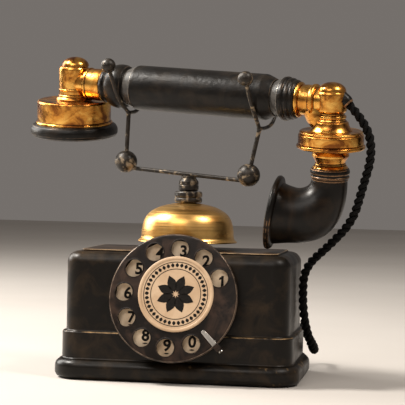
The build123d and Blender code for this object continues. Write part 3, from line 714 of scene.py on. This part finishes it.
def build_bell():
    shape = [
        (4.4, GONG_TOP), (10.8, 117.0), (19.2, 114.8), (26.0, 111.0), (29.6, 106.2), (31.2, 100.0),
        (31.6, 95.0), (32.4, 93.0), (33.6, 91.9),
    ]
    outside = curve_through(shape, 8)
    inside = [(max(r - GONG_THICKNESS, 4.4), z - GONG_THICKNESS * 0.6) for r, z in reversed(outside)]
    outline = outside + [(33.8, 91.4), (33.6, GONG_RIM), (32.2, GONG_RIM)] + inside[2:]
    lathe("bell", outline, HERE, "bell_brass", "case", ("bell_gong",), edge=0.0, steps=160)
    lathe("bell_post", [
        (3.05, 72.0), (5.4, 72.0), (5.4, LID_TOP), (9.0, LID_TOP), (9.0, 88.3), (5.4, 88.9),
        (5.4, 114.0), (6.4, 114.6), (6.4, 116.6), (4.35, 116.6), (4.35, 124.0), (3.05, 124.0),
    ], HERE, "wire_iron", "case", ("guide_sleeve",), steps=48)
    lathe("bell_nut", [
        (4.4, 118.0), (9.0, 118.0), (9.4, 118.8), (9.5, 120.4), (8.9, 121.0), (8.9, 121.5),
        (9.5, 122.1), (9.4, 124.6), (8.6, 125.6), (3.05, 125.6), (3.05, 124.2), (4.4, 124.2),
    ], HERE, "wire_iron", "case", ("gong_nut",), steps=64)
    lathe("plunger_head", [
        (3.0, 125.8), (6.0, 125.8), (6.8, 126.8), (6.9, 129.4), (6.5, 129.8), (6.8, 130.3),
        (6.7, 132.4), (5.2, 134.4), (5.0, 136.2), (0, 136.2), (0, 133.7), (3.0, 133.7),
    ], HERE, "wire_iron", "cradle", ("plunger_knob",), steps=64)


# ---------------------------------------------------------------- dial

def hole_at(number):
    """Middle of a finger hole; number 0 is the hole of the 1, and 9 that of the 0."""
    return ray(HOLE_CIRCLE, FIRST_HOLE + HOLE_STEP * number)


def build_wheel():
    outline = [
        (0, -1.4), (40.9, -1.4), (41.5, -3.0), (42.2, -3.2), (WHEEL_RADIUS, -2.6), (WHEEL_RADIUS, -0.9),
        (41.9, -0.2), (40.8, 0.0), (30.0, 0.0), (0, 0.0),
    ]
    wheel = lathe("finger_wheel_disc", outline, DIAL, "dial_black", "dial", ("finger_wheel",),
                  edge=0.2, steps=128)
    wheel.modifiers.clear()
    cut(wheel, [cutter_disc(HOLE_RADIUS, -4.0, 1.0, DIAL, hole_at(n)) for n in range(HOLES)])
    soft_edges(wheel, 0.22)
    for number in range(HOLES):
        x, y = hole_at(number)
        rim = [(HOLE_RADIUS - 0.05, -1.3), (HOLE_RADIUS - 0.05, 0.1), (HOLE_RADIUS + 0.45, 0.14),
               (HOLE_RADIUS + 0.9, -0.05), (HOLE_RADIUS + 0.9, -0.4), (HOLE_RADIUS + 0.1, -1.3)]
        place = DIAL @ shift(x, y, 0)
        lathe("hole_rim_%d" % (number + 1), rim, place, "dial_black", "dial", edge=0.0, steps=48)
    hub = [(0, PLATE_FRONT + 0.4), (6.0, PLATE_FRONT + 0.4), (6.0, -1.4), (0, -1.4)]
    lathe("wheel_hub", hub, DIAL, "dial_black", "dial", steps=48)


def build_pan():
    lathe("dial_pan_ring", [
        (2.55, -8.0), (40.1, -8.0), (PAN_RADIUS, -7.2), (PAN_RADIUS, -1.8), (39.4, -1.8), (39.4, -6.5),
        (22.0, -6.5), (22.0, PLATE_BACK), (19.0, PLATE_BACK), (19.0, -6.5), (2.55, -6.5),
    ], DIAL, "dial_black", "case", ("dial_pan",), edge=0.3, steps=128)
    lathe("number_disc", [
        (7.0, PLATE_BACK), (38.6, PLATE_BACK), (38.6, PLATE_FRONT), (7.0, PLATE_FRONT),
    ], DIAL, "cream_plate", "case", ("number_plate",), edge=0.15, steps=128)


def add_text(name, letters, height, place, body):
    """Raised printed character, centred on its place."""
    curve = bpy.data.curves.new(name, "FONT")
    curve.body = letters
    curve.size = height / 0.72 * MM
    curve.align_x = "CENTER"
    curve.align_y = "CENTER"
    curve.extrude = 0.04 * MM
    curve.bevel_depth = 0.27 * MM
    curve.bevel_resolution = 1
    curve.offset = 0.05 * MM
    curve.materials.append(MATERIALS["ink"])
    text = add_object(name, curve)
    text.matrix_world = place
    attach(text, body)


# how far each printed digit sits from the middle of its finger hole
DIGIT_SHIFTS = [
    (1.6, -2.0), (1.1, -1.7), (1.7, -1.3), (2.9, -0.2), (2.4, 0.0), (1.9, -0.4), (2.4, 0.6), (1.7, 1.9),
    (0.3, 1.6), (0.0, 1.6),
]


def build_digits():
    """Digits on the plate, a flag on the 1, and dashes under 5 to 0."""
    for number, (dx, dy) in enumerate(DIGIT_SHIFTS):
        x, y = hole_at(number)
        digit = str((number + 1) % 10)
        place = DIAL @ shift(x + dx, y + dy, PLATE_FRONT + 0.04)
        add_text("digit_" + digit, digit, DIGIT_HEIGHT, place, "case")
    bm = bmesh.new()
    top = DIGIT_HEIGHT / 2
    x, y = (at + by for at, by in zip(hole_at(0), DIGIT_SHIFTS[0]))
    add_leaf(bm, (x - 2.4, y + top - 2.0), math.radians(38), 3.2, 1.5, PLATE_FRONT + 0.02)
    for number in range(4, HOLES):
        x, y = (at + by for at, by in zip(hole_at(number), DIGIT_SHIFTS[number]))
        add_leaf(bm, (x - 1.9, y - top - 1.2), 0.0, 3.8, 1.0, PLATE_FRONT + 0.02)
    finish_mesh("number_marks", bm, DIAL, "cream_plate", "case", paint="ink")


def printed_ring(name, radius, width):
    """Thin ring printed on the card."""
    outline = [(radius, PRINT_BOTTOM), (radius + width, PRINT_BOTTOM), (radius + width, PRINT_TOP),
               (radius, PRINT_TOP)]
    turns = [2 * math.pi * i / LINE_STEPS for i in range(LINE_STEPS)]
    bm = bmesh.new()
    rings = []
    for r, z in outline:
        rings.append([bm.verts.new((r * MM * math.cos(a), r * MM * math.sin(a), z * MM)) for a in turns])
    bridge(bm, rings, closed=True)
    place = DIAL @ shift(*CARD_OFFSET, 0)
    finish_mesh(name, bm, place, "cream_card", "dial", paint="ink")


def add_leaf(bm, centre, angle, length, width, z):
    """Flat pointed leaf, printed on the card or the number plate."""
    along = Vector((math.cos(angle), math.sin(angle), 0))
    across = Vector((-along.y, along.x, 0))
    start = Vector((*centre, z))
    sides = []
    for sign in (1, -1):
        for step in range(1, 6):
            t = step / 6 if sign > 0 else 1 - step / 6
            sides.append(start + along * length * t + across * sign * width * math.sin(math.pi * t) / 2)
        sides.append(start + along * length * (1 if sign > 0 else 0))
    low = [bm.verts.new(p * MM) for p in sides]
    high = [bm.verts.new((p + Vector((0, 0, LEAF_THICKNESS))) * MM) for p in sides]
    skin(bm, [low, high])


def build_card():
    place = DIAL @ shift(*CARD_OFFSET, 0)
    lathe("card_disc", [(0, 0.0), (CARD_RADIUS, 0.0), (CARD_RADIUS, 0.8), (0, 0.8)],
          place, "cream_card", "dial", ("centre_card",), edge=0.1)
    lathe("card_rim", [
        (CARD_RADIUS, 0.0), (CARD_RING_RADIUS, 0.0), (CARD_RING_RADIUS, 0.7), (24.6, 1.05),
        (23.9, 1.15), (23.2, 1.1), (CARD_RADIUS, 0.85),
    ], place, "cream_plate", "dial", ("card_ring",), edge=0.15, steps=128, paint="cream_card")
    printed_ring("card_line_outer", 20.9, 0.5)
    printed_ring("card_line_inner", 16.3, 0.5)
    bm = bmesh.new()
    for step in range(ROSETTE_LEAVES):
        angle = math.radians(45 * step + 22.5)
        add_leaf(bm, ray(1.2, math.degrees(angle)), angle, 11.8, 6.2, LEAF_BOTTOM)
    finish_mesh("card_rosette", bm, place, "cream_card", "dial", paint="ink")
    bm = bmesh.new()
    for step in range(BORDER_LEAVES):
        degrees = 360 * step / BORDER_LEAVES
        add_leaf(bm, ray(17.6, degrees), math.radians(degrees), 3.0, 2.3, LEAF_BOTTOM)
    finish_mesh("card_border", bm, place, "cream_card", "dial", paint="ink")


def stop_strip(name, path, widths, nodes, paint):
    """Flat strip along (radius, height) points of the dial, with a half width at each point."""
    bm = bmesh.new()
    rings = []
    for i, (r, z) in enumerate(path):
        tangent = Vector(path[min(i + 1, len(path) - 1)]) - Vector(path[max(i - 1, 0)])
        normal = Vector((-tangent.y, tangent.x)).normalized() * STOP_HALF_THICKNESS
        ring = []
        for across, up in ((-1, -1), (1, -1), (1, 1), (-1, 1)):
            at = (r + normal.x * up, across * widths[i], z + normal.y * up)
            ring.append(bm.verts.new(Vector(at) * MM))
        rings.append(ring)
    skin(bm, rings)
    strip = finish_mesh(name, bm, DIAL @ turn("Z", STOP_ANGLE), "steel", "case", nodes, paint=paint)
    soft_edges(strip, 0.25)


def build_finger_stop():
    """Dark root, bent from the case over the wheel's rim, and a bright finger that ends on the wheel."""
    root = curve_through([(46.1, -8.0), (46.1, -2.0), (45.7, 0.2), (44.4, 1.1), (42.0, 1.3)], 5)
    stop_strip("stop_root", root, [STOP_ROOT_HALF_WIDTH] * len(root), ("finger_stop",), "dial_black")
    blade = curve_through([(42.0, 1.3), (41.0, 1.35), (36.0, 1.3), (30.6, 1.15), (STOP_TIP, 1.15)], 5)
    widths = []
    for r, _ in blade:
        tip = max(0.0, (STOP_ROUND_FROM - r) / STOP_ROUND_LENGTH)
        width = STOP_TIP_HALF_WIDTH + STOP_TAPER * (r - STOP_TIP)
        widths.append(width * math.sqrt(max(0.2, 1 - tip * tip)))
    stop_strip("stop_blade", blade, widths, (), "steel")


# ---------------------------------------------------------------- cradle

# prongs of the two forks, from the junction to the ball at the tip
LEFT_FRONT = [(-48.7, -14.0, 189.3), (-51.4, -24.0, 210.3)]
LEFT_REAR = [(-47.8, 12.5, 181.4), (-48.5, 22.0, 190.5), (-49.0, 24.5, 200.0)]
RIGHT_FRONT = [(51.4, -14.0, 185.2), (50.3, -21.5, 201.0)]
RIGHT_REAR = [(52.0, 12.0, 170.0), (52.0, 21.0, 173.5), (52.0, 26.5, 181.0), (52.0, 27.0, 193.0)]


def bar_end(ball):
    """The bar meets each ball a little below its middle."""
    return (ball[0], ball[1], ball[2] - BAR_DROP)


def build_cradle():
    bm = bmesh.new()
    path = [bar_end(LEFT_BALL), (-2.0, 0.0, 137.3), bar_end(RIGHT_BALL)]
    smooth = curve_through(path, 12)
    add_tube(bm, smooth, [WIRE_RADIUS] * len(smooth))
    finish_mesh("bar_wire", bm, CRADLE, "wire_iron", "cradle", ("cradle_bar",))
    bm = bmesh.new()
    for ball in (LEFT_BALL, RIGHT_BALL):
        add_ball(bm, ball, BALL_RADIUS, BALL_FLAT)
    finish_mesh("bar_balls", bm, CRADLE, "wire_iron", "cradle", ("cradle_balls",), sharp=60)
    for name, node, ball, junction, prongs in (
        ("fork_left", "cradle_fork_left", LEFT_BALL, LEFT_JUNCTION, (LEFT_FRONT, LEFT_REAR)),
        ("fork_right", "cradle_fork_right", RIGHT_BALL, RIGHT_JUNCTION, (RIGHT_FRONT, RIGHT_REAR)),
    ):
        bm = bmesh.new()
        stem = curve_through([ball, junction], 8)
        add_tube(bm, stem, [WIRE_RADIUS] * len(stem))
        add_ball(bm, junction, WIRE_RADIUS * 1.3)
        for prong in prongs:
            path = curve_through([junction] + prong, 10)
            add_tube(bm, path, [WIRE_RADIUS * 0.93] * len(path))
            add_ball(bm, prong[-1], TIP_RADIUS, BALL_FLAT)
        finish_mesh(name, bm, CRADLE, "wire_iron", "cradle", (node,), sharp=60)


# ---------------------------------------------------------------- handset

def build_grip():
    lathe("grip", [
        (14.9, -47.8), (15.3, -47.0), (GRIP_RADIUS, -46.0), (GRIP_RADIUS, 49.6), (15.2, 50.8),
        (13.2, 55.6), (12.5, 57.0), (9.0, 57.0), (9.0, -47.8),
    ], ALONG, "grip_black", "handset", ("grip_tube",), edge=0.3, steps=128)
    # the end cones take a lighter, more metallic black that paints their highlight, along with rubbed
    # metal
    lathe("grip_cone_left", [(12.5, -54.0), (13.2, -52.6), (14.9, -47.8), (9.0, -47.8), (9.0, -54.0)],
          ALONG, "grip_black", "handset", edge=0.15, steps=128, paint="rubbed_and_highlight_black")
    lathe("grip_bulb_left", [
        (5.0, -54.0), (12.0, -54.0), (12.4, -54.8), (14.2, -55.8), (15.1, -57.8), (15.4, -60.4),
        (15.2, -63.0), (14.6, -65.4), (13.4, -67.8), (12.0, -69.3), (11.4, -70.0), (12.2, -71.0),
        (12.2, -72.0), (11.0, -74.0), (5.0, -74.0),
    ], ALONG, "grip_black", "handset", ("grip_ring_left",), edge=0.3)
    lathe("grip_bulb_right", [
        (5.0, 62.6), (14.0, 62.6), (14.6, 63.6), (14.9, 65.0), (14.6, 66.2), (13.9, 66.9),
        (13.9, 67.4), (14.1, 68.2), (13.9, 69.4), (13.2, 70.2), (12.9, 70.6), (13.1, 71.2),
        (12.9, 72.4), (11.9, 73.6), (5.0, 73.6),
    ], ALONG, "grip_black", "handset", ("grip_ring_right",), edge=0.3)
    lathe("grip_cone_right", [(5.0, 57.0), (11.4, 57.0), (14.0, 62.6), (5.0, 62.6)],
          ALONG, "grip_black", "handset", edge=0.15, paint="rubbed_and_highlight_black")
    lathe("grip_line_right", [
        (5.0, 73.6), (11.4, 73.6), (11.9, 74.2), (11.9, 74.9), (11.2, 75.6), (10.6, 76.0), (5.0, 76.0),
    ], ALONG, "brass", "handset", edge=0.2)


def build_ear_end():
    lathe("barrel_ear", [
        (5.0, -74.0), (10.4, -74.0), (11.0, -74.6), (11.2, -78.0), (11.0, -84.0), (11.0, -84.8),
        (11.6, -85.2), (11.6, -86.4), (10.6, -86.8), (9.2, -87.6), (9.2, -94.0), (5.0, -94.0),
    ], ALONG, "brass", "handset", ("barrel_left",), edge=0.3)
    lathe("elbow_ear", [
        (0, 12.0), (9.7, 12.0), (10.5, 10.6), (10.6, 9.5), (10.6, -3.6), (11.0, -4.0), (11.0, -4.8),
        (10.6, -5.2), (10.6, -7.8), (11.2, -8.4), (11.2, -9.4), (12.0, -10.2), (12.6, -11.2),
        (12.6, -12.0), (5.0, -12.0), (5.0, 9.0), (0, 9.0),
    ], EAR, "brass", "handset", ("elbow_left",), edge=0.25)
    dome("elbow_dome_ear", 9.5, 12.0, 6.6, EAR @ shift(CAP_SHIFT, 0, 0), "elbow_cap_left")
    lathe("cup_ear", [
        (5.0, -12.0), (24.4, -12.0), (25.6, -12.4), (26.1, -13.4), (26.1, -26.6), (27.1, -27.2),
        (27.3, -28.0), (27.1, -28.6), (24.2, -28.6), (24.2, -14.0), (5.0, -14.0),
    ], EAR, "brass", "handset", ("receiver_cup",), edge=0.3, steps=128)
    hollow = curve_through([(24.0, -38.2), (16.0, -37.0), (6.0, -35.8)], 6)
    lathe("cap_ear", [
        (24.2, -28.6), (28.0, -28.6), (29.6, -29.6), (30.7, -31.4), (31.0, -33.0), (30.9, -35.2),
        (30.0, -36.8), (28.2, -37.9), *hollow, (3.0, -35.6), (3.0, -34.0), (24.2, -34.0),
    ], EAR, "grip_black", "handset", ("ear_cap",), edge=0.25, steps=128)


def dome(name, radius, seam, rise, place, node):
    """Rounded cap above a fine seam."""
    arc = [ray(1.0, 5 * step) for step in range(18)]
    outline = [(radius * c, seam + 0.3 + (rise - 0.3) * s) for c, s in arc]
    outline += [(0, seam + rise), (0, seam), (radius - 0.5, seam), (radius, seam + 0.1)]
    lathe(name, outline, place, "brass", "handset", (node,), edge=0.0)


def build_mouth_end():
    lathe("barrel_mouth", [
        (5.0, 76.0), (9.8, 76.0), (10.2, 76.6), (10.4, 80.0), (10.2, 83.2), (10.8, 83.7), (11.2, 84.4),
        (11.2, 86.0), (10.6, 86.6), (9.0, 87.2), (9.0, 92.0), (5.0, 92.0),
    ], ALONG, "brass", "handset", ("barrel_right",), edge=0.3)
    lathe("elbow_mouth", [
        (0, 7.0), (9.3, 7.0), (9.9, 5.8), (10.0, 4.5), (10.0, -5.6), (8.6, -7.2), (8.6, -8.2),
        (9.7, -8.8), (9.9, -9.7), (9.7, -10.5), (9.2, -11.0), (9.9, -12.2), (11.3, -13.2),
        (11.8, -15.2), (12.6, -16.8), (14.2, -18.7), (5.0, -18.7), (5.0, 4.0), (0, 4.0),
    ], MOUTH, "brass", "handset", ("elbow_right",), edge=0.25)
    build_elbow_web()
    dome("elbow_dome_mouth", 9.2, 7.0, 6.2, MOUTH, "elbow_cap_right")
    gland_place = MOUTH @ shift(8.3, 0, 2.6) @ turn("Y", 133.0)
    lathe("cord_gland_mouth", [
        (2.0, -3.0), (3.9, -3.0), (4.4, 1.0), (4.4, 2.4), (3.9, 4.5), (3.4, 5.2), (2.0, 5.2),
    ], gland_place, "horn_black", "handset", ("handset_gland",), steps=48)
    lathe("transmitter_disc", [
        (5.0, -18.7), (17.5, -18.7), (20.2, -19.0), (21.1, -19.7), (20.9, -20.8), (5.0, -20.8),
    ], MOUTH, "brass", "handset", ("transmitter_top",), edge=0.25, steps=128)
    lathe("transmitter_case", [
        (18.5, -20.8), (20.6, -20.8), (21.6, -21.4), (21.9, -22.2), (21.9, -27.2), (21.4, -27.9),
        (22.7, -28.5), (22.9, -29.2), (22.9, -30.0), (22.2, -30.8), (8.0, -30.8), (8.0, -29.0),
        (18.5, -29.0),
    ], MOUTH, "brass", "handset", ("transmitter_body",), edge=0.25, steps=128)
    lathe("transmitter_throat", [
        (8.0, -30.8), (10.8, -30.8), (10.5, -31.8), (11.7, -33.4), (12.4, -35.0), (12.3, -36.0),
        (11.5, -37.2), (10.4, -39.0), (10.0, -40.4), (10.4, -41.8), (11.6, -43.2), (12.0, -44.0),
        (8.0, -44.0),
    ], MOUTH, "brass", "handset", ("transmitter_neck",), edge=0.3)


def build_elbow_web():
    """Thick bend from the barrel's underside down to the transmitter."""
    bm = bmesh.new()
    add_tube(bm, [(-13.5, 0, -2.0), (-8.6, 0, -11.0), (-4.2, 0, -19.0)], [8.6] * 3, steps=64)
    for vert in bm.verts:
        vert.co.z = max(vert.co.z, -18.7 * MM)
    finish_mesh("elbow_web", bm, MOUTH, "brass", "handset")


# stations along the horn: x, z, outer radius, direction in degrees from straight down
HORN_SECTIONS = [
    (-0.2, -52.0, 12.0, 0.0), (-0.8, -57.0, 12.6, 8.0), (-2.9, -63.8, 14.4, 26.0),
    (-6.4, -70.2, 16.7, 44.0), (-11.6, -74.8, 18.2, 60.0), (-18.4, -77.0, 18.9, 74.0),
    (-27.7, -76.9, 19.5, 88.0), (-36.4, -76.4, 21.6, 98.0),
]
LIP_CENTRE = (-34.4, -76.7)
LIP_TURN = 98.0


def horn_ring(bm, wear_and_glint, x, z, radius, degrees, wear_and_painted_light):
    """Circle across the horn's centreline."""
    angle = math.radians(degrees)
    across = Vector((math.cos(angle), 0, -math.sin(angle)))
    ring = []
    for step in range(HORN_STEPS):
        around = 2 * math.pi * step / HORN_STEPS
        out = across * math.cos(around) + Vector((0, 1, 0)) * math.sin(around)
        vert = bm.verts.new((Vector((x, 0, z)) + out * radius) * MM)
        vert[wear_and_glint] = wear_and_painted_light
        ring.append(vert)
    return ring


def build_horn():
    """Bent horn with a rolled lip, and the ringed collar that holds it."""
    bm = bmesh.new()
    wear_and_glint = bm.verts.layers.float.new("wear_and_glint")
    sections = curve_through(HORN_SECTIONS, 6)
    outer = [horn_ring(bm, wear_and_glint, x, z, r, a, 0.3) for x, z, r, a in sections]
    inner = [horn_ring(bm, wear_and_glint, x, z, r - HORN_WALL, a, 0.0) for x, z, r, a in reversed(sections)]
    bridge(bm, outer + inner, closed=True)
    lip_angle = math.radians(LIP_TURN)
    lip_path = rounded([
        (18.0, 0), (21.9, 0), (24.4, 1.0), (25.3, 2.6), (24.9, 4.2), (22.8, 5.0), (20.4, 4.4),
        (18.6, 2.4),
    ], 0.4)
    rings = []
    for radius, out, wear_and_painted_light in lip_path:
        x = LIP_CENTRE[0] - math.sin(lip_angle) * out
        z = LIP_CENTRE[1] - math.cos(lip_angle) * out
        rings.append(horn_ring(bm, wear_and_glint, x, z, radius, LIP_TURN, wear_and_painted_light * 0.6))
    bridge(bm, rings, closed=True)
    finish_mesh("horn_tube", bm, HORN, "horn_black", "handset", ("mouth_horn",), sharp=50)
    lathe("horn_collar", [
        (8.0, -43.6), (11.8, -43.6), (12.8, -44.6), (13.2, -46.0), (13.1, -47.4), (12.5, -48.2),
        (12.5, -48.8), (13.0, -49.4), (12.9, -50.4), (12.0, -51.0), (12.2, -51.6), (12.0, -52.4),
        (8.0, -52.4),
    ], HORN, "horn_black", "handset", edge=0.25)


# ---------------------------------------------------------------- cord

# listed points, from the gland in the rear wall to the gland on the mouth-end elbow
CORD_ROUTE = [
    (42.0, 53.0, 46.0), (42.0, 72.0, 46.0), (52.0, 88.0, 40.0), (70.0, 88.0, 28.0), (81.5, 68.0, 18.0),
    (85.2, 45.0, 14.5), (85.0, 23.0, 20.0), (80.6, 10.5, 36.5), (78.9, 8.0, 56.0), (80.2, 4.0, 76.0),
    (97.4, -4.0, 91.4), (113.4, -12.0, 108.6), (119.6, -18.0, 131.0), (126.0, -24.5, 153.0),
    (122.4, -29.8, 172.4), (110.3, -28.3, 185.1),
]


def cord_line():
    """Points along the smooth line of the cord, in millimetres."""
    curve = bpy.data.curves.new("cord_route", "CURVE")
    curve.dimensions = "3D"
    spline = curve.splines.new("NURBS")
    spline.points.add(len(CORD_ROUTE) - 1)
    for point, (x, y, z) in zip(spline.points, CORD_ROUTE):
        point.co = (x * MM, y * MM, z * MM, 1.0)
    spline.order_u = 3
    spline.use_endpoint_u = True
    spline.resolution_u = 16
    route = add_object("cord_route", curve)
    graph = bpy.context.evaluated_depsgraph_get()
    line = bpy.data.meshes.new_from_object(route.evaluated_get(graph))
    points = [vert.co / MM for vert in line.vertices]
    bpy.data.objects.remove(route)
    return points


def build_cord():
    """Two twisted strands from the rear wall to the mouth-end elbow."""
    points = cord_line()
    bm = bmesh.new()
    strand = CORD_DIAMETER / 4
    tangent = (points[1] - points[0]).normalized()
    side = tangent.orthogonal().normalized()
    travelled = 0.0
    paths = [[], []]
    for i, point in enumerate(points):
        new_tangent = (points[min(i + 1, len(points) - 1)] - points[max(i - 1, 0)]).normalized()
        side = (tangent.rotation_difference(new_tangent) @ side).normalized()
        tangent = new_tangent
        if i:
            travelled += (point - points[i - 1]).length
        phase = 2 * math.pi * travelled / STRAND_PITCH
        for path, start in zip(paths, (0.0, math.pi)):
            out = side * math.cos(phase + start) + tangent.cross(side) * math.sin(phase + start)
            path.append(point + out * strand)
    for path in paths:
        add_tube(bm, path, [strand * STRAND_OVERLAP] * len(path), steps=16)
    mesh = bpy.data.meshes.new("cord")
    bmesh.ops.recalc_face_normals(bm, faces=bm.faces)
    bm.to_mesh(mesh)
    bm.free()
    mesh.shade_smooth()
    mesh.materials.append(MATERIALS["cord_braid"])
    cord = add_object("cord", mesh)
    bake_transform(cord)
    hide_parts("handset_cord")


# ---------------------------------------------------------------- carried-over CAD nodes

def dress_nodes(frame):
    """Give every CAD node that still shows its procedural material and smooth shading."""
    slots = {part["node"]: part["material_slot"] for part in frame["record"]["subparts"]}
    for name, node in frame["nodes"].items():
        node.data.materials.clear()
        node.data.materials.append(MATERIALS[slots[name]])
        node.data.shade_smooth()
        node.data.set_sharp_from_angle(angle=math.radians(30))


# ---------------------------------------------------------------- stage

def build_stage():
    bpy.ops.mesh.primitive_plane_add(size=6.0, location=(0, 0, 0))
    floor = bpy.context.object
    floor.name = "floor"
    paint = Paint("floor_paint", (0.46, 0.43, 0.40), 0.0, 0.8)
    shade = paint.noise(3.0, 3.0)
    paint.feed("Base Color", paint.ramp(shade, [(0.3, (0.44, 0.41, 0.38)), (0.7, (0.48, 0.45, 0.42))]))
    floor.data.materials.append(paint.material)


def add_light(name, at, target, size, power, color):
    """Rectangular light; place and size in metres, power in watts."""
    data = bpy.data.lights.new(name, "AREA")
    data.shape = "RECTANGLE"
    data.size, data.size_y = size
    data.energy = power
    data.color = color
    light = add_object(name, data)
    light.location = at
    light.rotation_euler = (Vector(target) - Vector(at)).to_track_quat("-Z", "Y").to_euler()


def build_lights():
    middle = (0.0, 0.0, 0.12)
    add_light("window", (-1.05, 0.40, 0.62), middle, (0.60, 0.80), 15.0, (1.0, 0.97, 0.92))
    add_light("key", (-0.82, -0.10, 1.05), middle, (0.22, 0.22), 28.0, (1.0, 0.95, 0.88))
    add_light("right", (0.62, -0.28, 0.98), middle, (0.22, 0.30), 7.0, (1.0, 0.93, 0.85))
    add_light("front", (-0.35, -1.05, 1.05), middle, (0.80, 0.50), 6.5, (1.0, 0.94, 0.88))
    world = bpy.data.worlds.new("studio")
    world.use_nodes = True
    background = world.node_tree.nodes["Background"]
    background.inputs["Color"].default_value = (0.88, 0.80, 0.74, 1.0)
    background.inputs["Strength"].default_value = 0.20
    bpy.context.scene.world = world
    bpy.context.scene.view_settings.view_transform = "Standard"


def build_camera():
    data = bpy.data.cameras.new("camera")
    data.lens = CAMERA_LENS
    data.sensor_width = SENSOR
    data.clip_start = 0.01
    camera = add_object("camera", data)
    forward = (Vector(CAMERA_TARGET) - Vector(CAMERA_AT)).normalized()
    right = forward.cross(Vector((0, 0, 1))).normalized()
    up = right.cross(forward)
    roll = math.radians(CAMERA_ROLL)
    rolled_right = right * math.cos(roll) - up * math.sin(roll)
    rolled_up = up * math.cos(roll) + right * math.sin(roll)
    rotation = Matrix((rolled_right, rolled_up, -forward)).transposed().to_4x4()
    camera.matrix_world = Matrix.Translation(CAMERA_AT) @ rotation
    bpy.context.scene.camera = camera


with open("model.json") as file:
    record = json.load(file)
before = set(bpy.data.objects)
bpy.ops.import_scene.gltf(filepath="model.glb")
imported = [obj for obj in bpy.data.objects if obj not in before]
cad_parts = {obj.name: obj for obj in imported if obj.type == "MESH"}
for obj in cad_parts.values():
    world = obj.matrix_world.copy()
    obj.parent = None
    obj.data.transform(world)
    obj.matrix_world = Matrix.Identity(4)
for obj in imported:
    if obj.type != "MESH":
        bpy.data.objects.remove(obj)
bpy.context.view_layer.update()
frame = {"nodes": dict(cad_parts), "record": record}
dress_nodes(frame)
build_camera()
build_case()
build_rear_bushes()
build_bell()
build_wheel()
build_pan()
build_digits()
build_card()
build_finger_stop()
build_cradle()
build_grip()
build_ear_end()
build_mouth_end()
build_horn()
build_cord()
build_stage()
build_lights()
